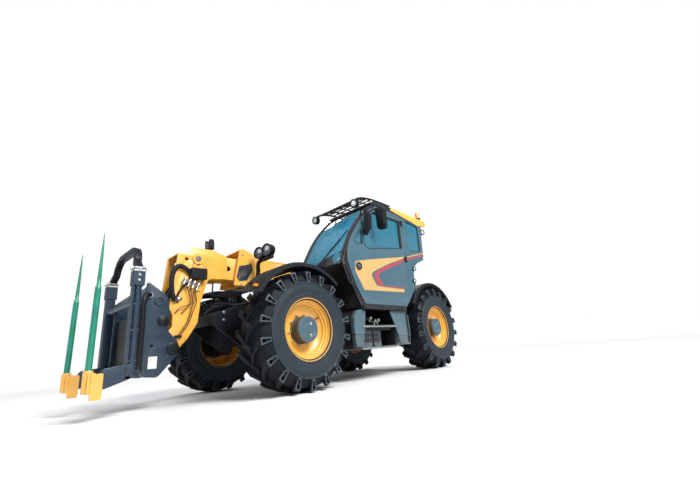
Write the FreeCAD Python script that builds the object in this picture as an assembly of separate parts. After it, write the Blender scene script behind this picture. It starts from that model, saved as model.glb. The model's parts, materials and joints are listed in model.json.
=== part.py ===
import FreeCAD, Part
import math
import os

# Telehandler with a folded bale fork, resting on its wheels with the boom level and drawn in.
# X points to the machine's left, where the cab is, Y to its rear and Z up, in millimetres.
# The ground is z = 0. Side outlines are tables of (y, z), front ones (x, z), plans (x, y).

# Clearances
fit_gap = 0.3
pin_gap = 1.0
slide_gap = 4.0
seam = 6.0

# Running gear
wheelbase = 2750.0
front_axle_y = -875.0
rear_axle_y = front_axle_y + wheelbase
wheel_x = 910.0
tyre_radius = 628.0
tyre_width = 460.0
tread_width = 416.0
tread_edge = 12.0
lug_height = 40.0
lugs_a_side = 18
wheel_sides = 16
lug_width = 46.0
lug_half_sweep = 111.0
rim_flange_radius = 330.0
rim_seat_radius = 305.0
rim_width = 420.0
rim_wall = 11.0
disc_wall = 14.0
disc_dish = 84.0
bolt_circle_radius = 165.0
hub_radius = 137.0
hub_reach = 112.0
spindle_radius = 26.0
spindle_reach = 40.0
hub_flange_x = 956.0
hub_flange_radius = 190.0
hub_flange_wall = 26.0
axle_z = tyre_radius
kingpin_x = 790.0
kingpin_radius = 24.0
knuckle_radius = 62.0
yoke_half_height = 120.0
yoke_half_depth = 52.0
yoke_lug = 50.0
yoke_inner_x = 600.0
axle_tube_radius = 75.0
differential_radius = 150.0
differential_half_width = 120.0
pinion_radius = 70.0
pinion_reach = 225.0

# Tow hitch
tow_bore_radius = 16.0
tow_plate = 26.0
tow_throat = 74.0
tow_eye_back = 48.0

# Main frame
frame_half_width = 290.0
frame_plate = 25.0
frame_bottom_z = 480.0
frame_depth = 390.0
frame_top_z = frame_bottom_z + frame_depth
frame_front_reach = 646.0
frame_rear_reach = 635.0
frame_front_y = front_axle_y - frame_front_reach
frame_rear_y = rear_axle_y + frame_rear_reach
nose_rise = 120.0
nose_top_z = frame_top_z + nose_rise
rear_rise = 140.0
axle_slot_half = 110.0
axle_slot_top_z = 740.0
belly_plate = 12.0
weight_depth = 70.0
weight_half_width = 430.0
body_rear_y = frame_rear_y + weight_depth

# Boom
boom_pivot_back = 275.0
boom_pivot_y = rear_axle_y + boom_pivot_back
boom_pivot_z = 1425.0
tower_over_pivot = 135.0
tower_top_z = boom_pivot_z + tower_over_pivot
pivot_pin_radius = 40.0
pivot_boss_radius = 95.0
outer_half_width = 160.0
outer_bottom_z = 1245.0
outer_top_z = 1618.0
outer_wall = 12.0
outer_front_y = front_axle_y - 245.0
outer_tail = 130.0
outer_rear_y = boom_pivot_y + outer_tail
collar_wall = 14.0
inner_half_width = 120.0
inner_bottom_z = 1310.0
inner_top_z = 1590.0
inner_wall = 10.0
inner_rear_y = rear_axle_y - 495.0
head_half_width = 150.0
head_plate = 22.0
tilt_reach = 1025.0
tilt_pivot_y = front_axle_y - tilt_reach
tilt_pivot_z = 540.0
tilt_pin_radius = 32.0
tilt_boss_radius = 72.0

# Cylinders
lift_base_ahead = 175.0
lift_base_y = rear_axle_y - lift_base_ahead
lift_base_z = 800.0
lift_eye_ahead = 1750.0
lift_eye_y = boom_pivot_y - lift_eye_ahead
lift_eye_below = 135.0
lift_eye_z = outer_bottom_z - lift_eye_below
lift_barrel_radius = 66.0
lift_rod_radius = 40.0
lift_pin_radius = 32.0
lift_sink = 45.0
tilt_base_y = tilt_pivot_y + 260.0
tilt_base_z = tilt_pivot_z + 960.0
tilt_eye_y = tilt_pivot_y - 108.0
tilt_eye_z = tilt_pivot_z + 269.0
tilt_barrel_radius = 58.0
tilt_rod_radius = 32.0
tilt_base_pin_radius = 28.0
tilt_sink = 58.0
eye_half_width = 40.0
eye_wall = 22.0

# Carriage and fork
carriage_half_width = 225.0
carriage_plate = 22.0
carriage_reach = 280.0
carriage_front_y = tilt_pivot_y - carriage_reach
stub_radius = 36.0
upright_x = 417.0
upright_ahead = 140.0
upright_y = carriage_front_y - upright_ahead
upright_size = 80.0
upright_wall = 10.0
upright_bottom_z = 320.0
upright_top_z = 1235.0
sleeve_wall = 9.0
sleeve_height = 130.0
cross_tube_z = 962.0
cross_tube_half = 30.0
lower_beam_z = 360.0
lower_beam_half = 40.0
hoop_bar = 60.0
hoop_rise = 295.0
hoop_lean = 127.0
hoop_bend = 95.0
tine_x = 400.0
tine_hinge_ahead = 210.0
tine_hinge_y = upright_y - tine_hinge_ahead
tine_hinge_z = 270.0
tine_reach = 80.0
tine_y = tine_hinge_y - tine_reach
tine_base_z = 390.0
tine_step_z = 1075.0
tine_tip_z = 1564.0
tine_radius = 24.0
tine_neck_radius = 17.0
tine_tip_radius = 4.0
holder_size = 76.0
tine_pin_radius = 16.0
tine_ear_half = 28.0
bracket_plate = 16.0

# Cab
cab_inner_x = 240.0
cab_outer_x = 1085.0
cab_wall = 42.0
cab_floor_z = frame_top_z
cab_roof_z = 2420.0
roof_rise = 80.0
roof_overhang = 10.0
glass = 8.0
screen_margin = 55.0
rear_window_margin = 70.0
door_hinge_out = 16.0
door_hinge_y = rear_axle_y - 678.0
door_hinge_zs = (1640.0, 2240.0)
hinge_height = 80.0
hinge_lug = 18.0
hinge_radius = 12.0
hinge_pin_radius = 6.0
guard_bar = 24.0
guard_margin = 20.0
guard_height = 60.0
seat_x = 670.0

# Mudguards
guard_gap = 92.0
mudguard_wall = 8.0
mudguard_outer_x = 1110.0
mudguard_inner_x = 720.0
mudguard_lip = 45.0
mudguard_arm_radius = 22.0
mudguard_post = 22.0

# Side bodies
step_inner_x = 600.0
step_outer_x = 1065.0
step_bottom_z = 400.0
step_plate = 20.0
bay_gap = 50.0
bay_wall = 20.0
bonnet_outer_x = 1060.0
bonnet_top_z = 1420.0
bonnet_wall = 20.0
bonnet_front_y = front_axle_y + 755.0
bonnet_rear_y = rear_axle_y - 795.0
bonnet_hinge_in = 12.0
bonnet_hinge_z = 1425.0
bonnet_hinge_ys = (front_axle_y + 975.0, rear_axle_y - 1095.0)
bonnet_hinge_radius = 14.0
bonnet_hinge_pin = 8.0
bonnet_hinge_length = 100.0
bonnet_hinge_lug = 22.0
louvres = 5

# Lamps and mirrors
head_lamp_radius = 55.0
road_lamp_radius = 58.0
work_lamp_radius = 60.0

V = FreeCAD.Vector
ORIGIN = V(0, 0, 0)
X_AXIS = V(1, 0, 0)
Y_AXIS = V(0, 1, 0)
Z_AXIS = V(0, 0, 1)


def box(x, y, z):
    """A block between two limits along each axis."""
    return Part.makeBox(x[1] - x[0], y[1] - y[0], z[1] - z[0], V(x[0], y[0], z[0]))


def rod(start, end, radius):
    """A round bar between two points."""
    a = V(*start)
    span = V(*end) - a
    return Part.makeCylinder(radius, span.Length, a, span)


def bar(start, end, radius, sides=8):
    """A bar of regular many-sided section between two points; radius is to its flats."""
    a = V(*start)
    span = V(*end) - a
    across = span.cross(X_AXIS if abs(span.z) > 0.9 * span.Length else Z_AXIS).normalize()
    up = across.cross(span).normalize()
    reach = radius / math.cos(math.pi / sides)
    corners = []
    for i in range(sides):
        turn = math.pi * (2 * i + 1) / sides
        corners.append(a + across * (reach * math.cos(turn)) + up * (reach * math.sin(turn)))
    return Part.Face(Part.makePolygon(corners + corners[:1])).extrude(span)


def prism(points, place, along):
    """A flat outline, put in space by place(a, b), swept along a vector."""
    corners = [place(a, b) for a, b in points]
    return Part.Face(Part.makePolygon(corners + corners[:1])).extrude(along)


def side_prism(points, x):
    """A (y, z) outline between two x limits."""
    return prism(points, lambda y, z: V(x[0], y, z), V(x[1] - x[0], 0, 0))


def front_prism(points, y):
    """An (x, z) outline between two y limits."""
    return prism(points, lambda x, z: V(x, y[0], z), V(0, y[1] - y[0], 0))


def plan_prism(points, z):
    """An (x, y) outline between two z limits."""
    return prism(points, lambda x, y: V(x, y, z[0]), V(0, 0, z[1] - z[0]))


def join(shapes):
    """One solid from overlapping or touching ones."""
    return shapes[0].multiFuse(shapes[1:]).removeSplitter()


def mirrored(shape):
    """The same shape on the machine's other side."""
    return shape.mirror(ORIGIN, X_AXIS)


def both(shape):
    """A shape and its mirror image, as two loose solids."""
    return Part.makeCompound([shape, mirrored(shape)])


def moved(shape, x, y, z):
    """A copy of a shape, shifted."""
    copy = shape.copy()
    copy.translate(V(x, y, z))
    return copy


def span(side, near, far):
    """Two x limits on one side of the machine, lowest first."""
    return sorted((side * near, side * far))


def from_axle(axle_y, points):
    """An outline whose y values are measured from an axle."""
    return [(axle_y + y, z) for y, z in points]


def inset(points, distance):
    """A (y, z) outline drawn in by a distance on every side."""
    corners = [V(0, y, z) for y, z in points]
    wire = Part.makePolygon(corners + corners[:1])
    inner = wire.makeOffset2D(-distance, 2)
    if Part.Face(inner).Area > Part.Face(wire).Area:
        inner = wire.makeOffset2D(distance, 2)
    return [(v.Point.y, v.Point.z) for v in inner.OrderedVertexes]


def faceted_ring(outline, sides):
    """A ring of flat facets: an (x, radius) outline carried round the X axis."""
    rims = []
    for i in range(sides):
        turn = 2 * math.pi * i / sides
        rims.append([V(x, r * math.sin(turn), r * math.cos(turn)) for x, r in outline])
    count = len(outline)
    faces = []
    for i in range(sides):
        near, far = rims[i], rims[(i + 1) % sides]
        for j in range(count):
            k = (j + 1) % count
            faces.append(Part.Face(Part.makePolygon([near[j], near[k], far[k], far[j], near[j]])))
    shell = Part.makeShell(faces)
    shell.sewShape()
    solid = Part.makeSolid(shell)
    return solid if solid.Volume > 0 else solid.reversed()


def arc_points(centre, radius, start, end, count):
    """Points (y, z) on an arc; angles in degrees from the front (-Y) upwards."""
    points = []
    for i in range(count + 1):
        a = math.radians(start + (end - start) * i / count)
        points.append((centre[0] - radius * math.cos(a), centre[1] + radius * math.sin(a)))
    return points


def make_tyre():
    """A lugged tyre about the X axis with its outer side at +X."""
    half = tyre_width / 2
    tread = tread_width / 2
    floor = tyre_radius - lug_height
    bead = rim_width / 2 - 20
    # The outline's corners from the bead over the widest place and the shoulder to the tread.
    side = [(bead, rim_seat_radius + fit_gap), (half, 450), (half - 14, 545), (tread - tread_edge, floor)]
    carcass = faceted_ring(side + [(-x, r) for x, r in reversed(side)], wheel_sides)
    # A lug's outline, across the tread and along it, runs from the shoulder, bends and ends past the middle.
    sweep = 2 * lug_half_sweep
    outline = [(tread + tread_edge, 0), (tread + tread_edge, lug_width * 1.25), (-14, sweep),
               (-14, sweep - lug_width), (78, 84)]
    top = math.sqrt(tyre_radius ** 2 - lug_half_sweep ** 2)
    lug = plan_prism([(x, s - lug_half_sweep) for x, s in outline], (floor - 30, top))
    pitch = 360.0 / lugs_a_side
    lugs = []
    for i in range(lugs_a_side):
        near = lug.copy()
        near.rotate(ORIGIN, X_AXIS, i * pitch)
        far = mirrored(lug)
        far.rotate(ORIGIN, X_AXIS, (i + 0.5) * pitch)
        lugs += [near, far]
    return carcass.multiFuse(lugs).removeSplitter()


def make_rim():
    """A dished rim with its hub about the X axis, its outer side at +X."""
    half = rim_width / 2
    seat = rim_seat_radius
    inside = seat - rim_wall
    face_x = hub_flange_x - wheel_x + fit_gap + disc_wall
    bore = spindle_radius + pin_gap
    dish = [(face_x + disc_dish, inside), (face_x + disc_dish - 40, inside - 28),
            (face_x, bolt_circle_radius + 45), (face_x, bore)]
    back = [(x - disc_wall, r) for x, r in reversed(dish)]
    flange = rim_flange_radius
    outline = [(half, flange), (half - 16, seat), (16 - half, seat), (-half, flange), (-half, inside)]
    outline += back[::-1] + dish[::-1] + [(half, inside)]
    ring = faceted_ring(outline, wheel_sides)
    hub = bar((face_x - 1, 0, 0), (face_x + hub_reach, 0, 0), hub_radius, 12)
    hub = hub.cut(bar((face_x - 2, 0, 0), (face_x + spindle_reach, 0, 0), bore, 8))
    return join([ring, hub])


def make_knuckle():
    """The left steering knuckle, about its own kingpin, at its place for an axle at y = 0."""
    reach = yoke_half_height + yoke_lug / 2
    half = yoke_half_height - fit_gap
    post = bar((kingpin_x, 0, axle_z - half), (kingpin_x, 0, axle_z + half), knuckle_radius, 8)
    top_pin = rod((kingpin_x, 0, axle_z + half), (kingpin_x, 0, axle_z + reach), kingpin_radius)
    foot_pin = bar((kingpin_x, 0, axle_z - reach), (kingpin_x, 0, axle_z - half), kingpin_radius, 12)
    flange = bar((hub_flange_x - hub_flange_wall, 0, axle_z), (hub_flange_x, 0, axle_z), hub_flange_radius,
                 10)
    body = bar((kingpin_x, 0, axle_z), (hub_flange_x - hub_flange_wall, 0, axle_z), knuckle_radius + 22, 8)
    tip = hub_flange_x + disc_wall + spindle_reach - pin_gap
    spindle = rod((hub_flange_x, 0, axle_z), (tip, 0, axle_z), spindle_radius)
    return join([post, top_pin, foot_pin, body, flange, spindle])


def make_axle(y, nose):
    """A live axle across the machine; nose is the way its pinion housing points."""
    z = axle_z
    wide = differential_half_width
    shapes = [bar((-yoke_inner_x - 40, y, z), (yoke_inner_x + 40, y, z), axle_tube_radius, 8),
              bar((-wide, y, z), (wide, y, z), differential_radius, 12),
              bar((0, y, z), (0, y + nose * pinion_reach, z), pinion_radius, 8)]
    top = yoke_half_height + yoke_lug
    for side in (-1, 1):
        shapes.append(box(span(side, frame_half_width - 70, frame_half_width + 10), (y - 80, y + 80),
                          (z, axle_slot_top_z)))
        # The yoke: lugs above and below the knuckle, rounded about the kingpin and bored for it.
        arm = box(span(side, yoke_inner_x, kingpin_x), (y - yoke_half_depth, y + yoke_half_depth),
                  (z - top, z + top))
        arm = arm.fuse(bar((side * kingpin_x, y, z - top), (side * kingpin_x, y, z + top), yoke_half_depth,
                           8))
        pocket = box(span(side, yoke_inner_x + 68, kingpin_x + 80), (y - 90, y + 90),
                     (z - yoke_half_height, z + yoke_half_height))
        bore = bar((side * kingpin_x, y, z - top + yoke_lug / 2 - pin_gap),
                   (side * kingpin_x, y, z + top - yoke_lug / 2 + pin_gap),
                   kingpin_radius + pin_gap, 12)
        shapes.append(arm.cut(pocket).cut(bore))
    return join(shapes)


def make_frame():
    """Two deep side plates with the boom's towers, joined by cross members."""
    low = frame_bottom_z
    top = frame_top_z
    rear_top = top + rear_rise
    shoulder = tower_top_z - 120
    outline = [(frame_front_y, top - 100), (frame_front_y, top)]
    outline += from_axle(front_axle_y, [(-335, nose_top_z), (315, nose_top_z), (495, top)])
    outline += from_axle(rear_axle_y,
                         [(-375, top), (5, shoulder), (145, tower_top_z), (375, tower_top_z), (465, shoulder),
                                       (525, rear_top)])
    outline += [(frame_rear_y, rear_top - 30), (frame_rear_y, low + 80), (frame_rear_y - 80, low),
                (front_axle_y - 245, low)]
    inner = frame_half_width - frame_plate
    plate = side_prism(outline, (inner, frame_half_width))
    for y in (front_axle_y, rear_axle_y):
        plate = plate.cut(box((inner - 1, frame_half_width + 1), (y - axle_slot_half, y + axle_slot_half),
                              (low - 1, axle_slot_top_z)))
    nose = box((-inner, inner), (frame_front_y, frame_front_y + frame_plate), (top - 100, top))
    slope = [(frame_front_y, top - 14), (frame_front_y, top), (front_axle_y - 335, nose_top_z),
             (front_axle_y - 335, nose_top_z - 14)]
    nose_top = side_prism(slope, (-inner, inner))
    belly = box((-inner, inner), (front_axle_y + 355, rear_axle_y - 495), (low, low + belly_plate))
    bridge_y = front_axle_y + pinion_reach + 10
    bridge = box((-inner, inner), (bridge_y, bridge_y + 40), (low, nose_top_z - 30))
    stay_y = rear_axle_y - pinion_reach - 50
    stay = box((-inner, inner), (stay_y - 30, stay_y), (low, axle_slot_top_z - 40))
    rear = box((-inner, inner), (frame_rear_y - frame_plate, frame_rear_y), (low + 80, rear_top - 30))
    lift_pin = rod((-inner, lift_base_y, lift_base_z), (inner, lift_base_y, lift_base_z), lift_pin_radius)
    boom_pin = rod((-inner, boom_pivot_y, boom_pivot_z), (inner, boom_pivot_y, boom_pivot_z),
                   pivot_pin_radius)
    shapes = [plate, mirrored(plate), nose, nose_top, belly, bridge, stay, rear, lift_pin, boom_pin]
    for side in (-1, 1):
        for y, z, r in ((boom_pivot_y, boom_pivot_z, pivot_pin_radius),
                        (lift_base_y, lift_base_z, lift_pin_radius)):
            shapes.append(bar((side * inner, y, z), (side * (frame_half_width + 12), y, z), r + 12, 8))
    return join(shapes)


def front_mudguard_arc(radius):
    """The curve over a front wheel at a radius."""
    return arc_points((front_axle_y, axle_z), radius, 47, 148, 8)


def rear_mudguard_arc(radius):
    """The curve over a rear wheel at a radius."""
    return arc_points((rear_axle_y, axle_z), radius, 28, 150, 9)


def mudguard(centre_y, curve, tip):
    """A curved guard over a left wheel, with a lip along its outer edge and a straight tip at its front."""
    radius = tyre_radius + guard_gap
    outer = [(y, z) for y, z in tip] + curve(radius + mudguard_wall)
    inner = [(y + 6, z - 11) for y, z in tip] + curve(radius)
    deep = [(y + 14, z - 24) for y, z in tip] + curve(radius - mudguard_lip)
    shell = side_prism(outer + inner[::-1], (mudguard_inner_x, mudguard_outer_x))
    lip = side_prism(inner + deep[::-1], (mudguard_outer_x - mudguard_wall, mudguard_outer_x))
    # The guard hangs on a round arm from a post on the frame.
    post = box((frame_half_width, frame_half_width + mudguard_post), (centre_y - 40, centre_y + 40),
               (frame_top_z + 30, axle_z + radius - mudguard_arm_radius + 10))
    arm_z = axle_z + radius - mudguard_arm_radius
    arm = bar((frame_half_width + 10, centre_y, arm_z), (mudguard_inner_x + 260, centre_y, arm_z),
              mudguard_arm_radius)
    return both(join([shell, lip, post, arm]))


def mudguard_top(y):
    """The height of a front guard's outer face above a place along the machine."""
    points = front_mudguard_arc(tyre_radius + guard_gap + mudguard_wall)
    for (near_y, near_z), (far_y, far_z) in zip(points, points[1:]):
        if near_y <= y <= far_y:
            return near_z + (far_z - near_z) * (y - near_y) / (far_y - near_y)
    return points[0][1]


def make_front_mudguards():
    """Both front guards, each with a flat tip ahead of the wheel."""
    return mudguard(front_axle_y, front_mudguard_arc, [(front_axle_y - 905, axle_z + 357)])


def make_rear_mudguards():
    """Both rear guards."""
    return mudguard(rear_axle_y, rear_mudguard_arc, [])


def make_counterweight():
    """The cast weight between the rear wheels, behind the axle."""
    low = frame_bottom_z
    top = frame_top_z + rear_rise
    back = body_rear_y
    wide = weight_half_width
    outline = [(frame_rear_y, low), (frame_rear_y, top), (back - 20, top), (back, top - 50),
               (back, low + 80), (back - 30, low)]
    weight = side_prism(outline, (-wide, wide))
    for side in (-1, 1):
        weight = weight.cut(box(span(side, wide - 90, wide - 30), (back - 12, back + 1),
                                (top - 190, top - 90)))
    return weight


def make_tow_hitch():
    """A clevis for a trailer's ring, behind the weight."""
    y = body_rear_y
    low = frame_bottom_z + 120
    eye_y = y + step_plate + tow_eye_back
    shapes = [box((-90, 90), (y, y + step_plate), (low - 80, low + 200))]
    for z in (low, low + tow_plate + tow_throat):
        tongue = box((-45, 45), (y + step_plate, eye_y), (z, z + tow_plate))
        tongue = tongue.fuse(bar((0, eye_y, z), (0, eye_y, z + tow_plate), 45, 12))
        shapes.append(tongue.cut(rod((0, eye_y, z - 1), (0, eye_y, z + tow_plate + 1), tow_bore_radius)))
    return join(shapes)


FLOOR_EDGE = [(60, cab_floor_z), (rear_axle_y - 865, cab_floor_z)]
REAR_ARCH = from_axle(rear_axle_y,
                      [(-706, 1037), (-575, 1279), (-494, 1561), (-376, 1677), (-91, 1802), (-45, 2330),
                                    (25, cab_roof_z)])
FRONT_EDGE = [(462, cab_roof_z), (345, 2335), (189, 2173), (27, 1974), (-85, 1796), (-183, 1615),
              (-230, 1450), (-110, 1180)]
CAB_SIDE = FLOOR_EDGE + REAR_ARCH + FRONT_EDGE
DOOR_REAR = from_axle(rear_axle_y, [(-875, 930), (-755, 1090), (-685, 1590), (-675, 2360)])
DOOR_SIDE = [(120, 930)] + DOOR_REAR + [(470, 2360), (205, 2120), (60, 1940), (-60, 1770), (-130, 1600),
                                        (-130, 1462),
                                        (-10, 1180)]
DOOR_WINDOW = [(317, 1709)] + from_axle(rear_axle_y, [(-728, 1851), (-715, 2310)]) + [(482, 2310),
                                                                                      (240, 2080), (60, 1860),
                                                                                    (20, 1760)]
QUARTER_WINDOW = from_axle(rear_axle_y, [(-549, 1821), (-175, 1880), (-155, 2330), (-545, 2360)])
REAR_WINDOW = [(cab_inner_x + rear_window_margin, 1870), (cab_outer_x - rear_window_margin, 1870),
               (cab_outer_x - rear_window_margin, 2310), (cab_inner_x + rear_window_margin, 2310)]
RIGHT_WINDOW = [(60, 1500)] + from_axle(rear_axle_y, [(-475, 1700), (-225, 1880),
                                                      (-225, 2330)]) + [(480, 2330), (60, 1900)]
SCREEN_LINE = [(-215, 1450), (-176, 1602), (-80, 1782), (32, 1962), (193, 2162), (368, 2330)]


def make_cab():
    """The cab's hollow frame with its door opening and window openings."""
    left = (cab_outer_x - cab_wall - 1, cab_outer_x + 1)
    shell = side_prism(CAB_SIDE, (cab_inner_x, cab_outer_x))
    room = side_prism(inset(CAB_SIDE, cab_wall), (cab_inner_x + cab_wall, cab_outer_x - cab_wall))
    cab = shell.cut(room)
    cab = cab.cut(side_prism(DOOR_SIDE, left))
    cab = cab.cut(side_prism(QUARTER_WINDOW, left))
    cab = cab.cut(side_prism(RIGHT_WINDOW, (cab_inner_x - 1, cab_inner_x + cab_wall + 1)))
    cab = cab.cut(front_prism(REAR_WINDOW, (rear_axle_y - 175, rear_axle_y + 75)))
    return join([cab.cut(windscreen_block(-1, 80))] + door_hinge_posts())


def door_hinge_posts():
    """The cab's half of the door hinges: two lugs and a pin each."""
    x = cab_outer_x + door_hinge_out
    y = door_hinge_y
    shapes = []
    for z in door_hinge_zs:
        shapes.append(rod((x, y, z + hinge_lug), (x, y, z + hinge_height - hinge_lug), hinge_pin_radius))
        for low in (z, z + hinge_height - hinge_lug):
            shapes.append(bar((x, y, low), (x, y, low + hinge_lug), hinge_radius))
            shapes.append(box((cab_outer_x, x + 5), (y + 3, y + 40), (low, low + hinge_lug)))
    return shapes


def door_hinge_leaves():
    """The door's half of its hinges, bored for the pins."""
    x = cab_outer_x + door_hinge_out
    y = door_hinge_y
    shapes = []
    for z in door_hinge_zs:
        low = z + hinge_lug + fit_gap
        high = z + hinge_height - hinge_lug - fit_gap
        leaf = bar((x, y, low), (x, y, high),
                   hinge_radius).fuse(box((cab_outer_x, x + 5), (y - 40, y), (low, high)))
        shapes.append(leaf.cut(bar((x, y, low - 1), (x, y, high + 1), hinge_pin_radius + fit_gap)))
    return shapes


def windscreen_block(out, depth):
    """The block along the sloping front that the windscreen fills, from a little outside it inwards."""
    line = [(-190, 1470), (-150, 1600), (-60, 1770), (52, 1948), (212, 2145), (380, 2310)]
    normal = (-0.8, 0.6)
    outer = [(y + normal[0] * 60, z + normal[1] * 60) for y, z in line]
    inner = [(y - normal[0] * depth, z - normal[1] * depth) for y, z in line]
    return side_prism(outer + inner[::-1], (cab_inner_x + screen_margin, cab_outer_x - screen_margin))


def make_cab_glass():
    """The fixed panes, each standing in its opening."""
    mid = cab_wall / 2
    gap = fit_gap
    edge = screen_margin + gap
    screen = side_prism(SCREEN_LINE + [(y + 6, z - 5) for y, z in reversed(SCREEN_LINE)],
                        (cab_inner_x + edge, cab_outer_x - edge))
    screen = screen.common(windscreen_block(0, 60))
    quarter = side_prism(inset(QUARTER_WINDOW, gap), (cab_outer_x - mid, cab_outer_x - mid + glass))
    right = side_prism(inset(RIGHT_WINDOW, gap), (cab_inner_x + mid, cab_inner_x + mid + glass))
    edge = rear_window_margin + gap
    rear_y = rear_axle_y - 80
    rear = box((cab_inner_x + edge, cab_outer_x - edge), (rear_y, rear_y + glass), (1870 + gap, 2310 - gap))
    return Part.makeCompound([screen, quarter, right, rear])


def make_door():
    """The door: a panel and frame around one window, hinged along its rear edge."""
    panel = side_prism(inset(DOOR_SIDE, seam), (cab_outer_x - cab_wall, cab_outer_x))
    panel = panel.cut(side_prism(DOOR_WINDOW, (cab_outer_x - cab_wall - 1, cab_outer_x + 1)))
    return join([panel] + door_hinge_leaves())


def make_door_glass():
    """The pane in the door."""
    return side_prism(inset(DOOR_WINDOW, fit_gap),
                      (cab_outer_x - cab_wall / 2, cab_outer_x - cab_wall / 2 + glass))


def make_roof():
    """The roof cap, higher at its rear."""
    z = cab_roof_z
    top = z + roof_rise
    rear = from_axle(rear_axle_y, [(100, top), (135, z + 40), (115, z)])
    return side_prism([(430, z), (440, z + 30), (530, top)] + rear,
                      (cab_inner_x - roof_overhang, cab_outer_x + roof_overhang))


def make_roof_guard():
    """The arched lattice over the roof's front and the top of the windscreen."""
    top = cab_roof_z + roof_rise
    # Each arched bar's line, from ahead of the windscreen's top to the roof.
    line = [(150, top - 90), (330, top + guard_height - 20), (900, top + guard_height)]
    inner = cab_inner_x + guard_margin
    outer = cab_outer_x - guard_margin
    shapes = []
    bars = 5
    for i in range(bars + 1):
        x = inner + (outer - inner) * i / bars
        thick = guard_bar / 2 if i in (0, bars) else guard_bar / 3
        for (y, z), (next_y, next_z) in zip(line, line[1:]):
            shapes.append(bar((x, y, z), (x, next_y, next_z), thick, 4))
    for y, z in line:
        shapes.append(bar((inner - 6, y, z), (outer + 6, y, z), guard_bar / 2, 6))
    for x in (inner, outer):
        for y in (600, 860):
            shapes.append(bar((x, y, top), (x, y, top + guard_height), guard_bar / 2, 6))
    return join(shapes)


def make_seat():
    """The driver's seat on its base."""
    rear = rear_axle_y - 745
    pad_z = 1300
    base = box((seat_x - 130, seat_x + 130), (rear - 430, rear - 170), (cab_floor_z + cab_wall, pad_z))
    pad = box((seat_x - 210, seat_x + 210), (rear - 490, rear), (pad_z, pad_z + 100))
    back = side_prism([(rear - 70, pad_z + 100), (rear + 40, pad_z + 100), (rear + 130, 2000),
                       (rear + 50, 2010)],
                      (seat_x - 190, seat_x + 190))
    return join([base, pad, back])


def make_column():
    """The dashboard with the steering column and its wheel."""
    floor = cab_floor_z + cab_wall
    dash = side_prism([(100, floor + 40), (130, floor), (190, floor), (190, 1250), (180, 1480), (-60, 1480),
                       (-100, 1420)],
                      (seat_x - 270, seat_x + 230))
    hub = V(seat_x - 20, 430, 1560)
    lean = V(0, 200, 180)
    column = bar((hub.x, 160, 1317), tuple(hub), 35, 8)
    section = [(16 * math.cos(math.radians(72 * i)),
                180 + 16 * math.sin(math.radians(72 * i))) for i in range(5)]
    wheel = faceted_ring(section, 14)
    wheel.Placement = FreeCAD.Placement(hub, FreeCAD.Rotation(X_AXIS, lean))
    spoke = bar((hub.x - 172, hub.y, hub.z), (hub.x + 172, hub.y, hub.z), 14, 6)
    return join([dash, column, wheel, spoke])


STEP_BOX = [(-90, 470), (-60, step_bottom_z), (30, step_bottom_z), (130, 850), (-10, 850), (-90, 700)]


def make_steps():
    """The two treads under the door with the box ahead of them and the plate behind."""
    low = step_bottom_z
    inner = step_inner_x
    out = step_outer_x
    rear = rear_axle_y - 1055
    under_cab = cab_floor_z - 2
    shapes = [side_prism(STEP_BOX, (inner - 40, out))]
    shapes.append(box((inner, out + 20), (60, rear - 20), (640, 668)))
    shapes.append(box((inner, out + 30), (40, rear - 20), (low - 30, low - 6)))
    shapes.append(box((inner - 40, inner), (-40, rear), (low - 30, under_cab)))
    for y in (30, rear - 10 - step_plate):
        shapes.append(box((inner - 40, out - 40), (y, y + step_plate), (low - 30, under_cab)))
    shapes.append(box((frame_half_width, inner), (80, rear - 60), (700, 760)))
    return join(shapes)


def make_tank():
    """The fuel tank behind the steps."""
    low = step_bottom_z
    front = rear_axle_y - 1055 + seam
    rear = rear_axle_y - 765
    outline = [(front, low + 120), (front + 60, low + 20), (rear, low), (rear, low + 380),
               (rear - 50, low + 460),
               (front, low + 460)]
    body = side_prism(outline, (step_inner_x, step_outer_x))
    strap = box((frame_half_width, step_inner_x), (front + 40, front + 180), (700, 780))
    neck = bar((step_outer_x - 80, rear - 25, low + 410), (step_outer_x - 20, rear + 25, low + 450), 34, 12)
    return join([body, strap, neck])


def bay_inner_x():
    """The distance from the machine's middle to the engine bay's inner wall."""
    return frame_half_width + bay_gap


def make_engine():
    """The engine as one plain block on the machine's right."""
    inner = bay_inner_x() + bay_wall + 10
    return box((-inner - 510, -inner), (bonnet_front_y + 240, bonnet_rear_y - 160), (620, 1280))


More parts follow.
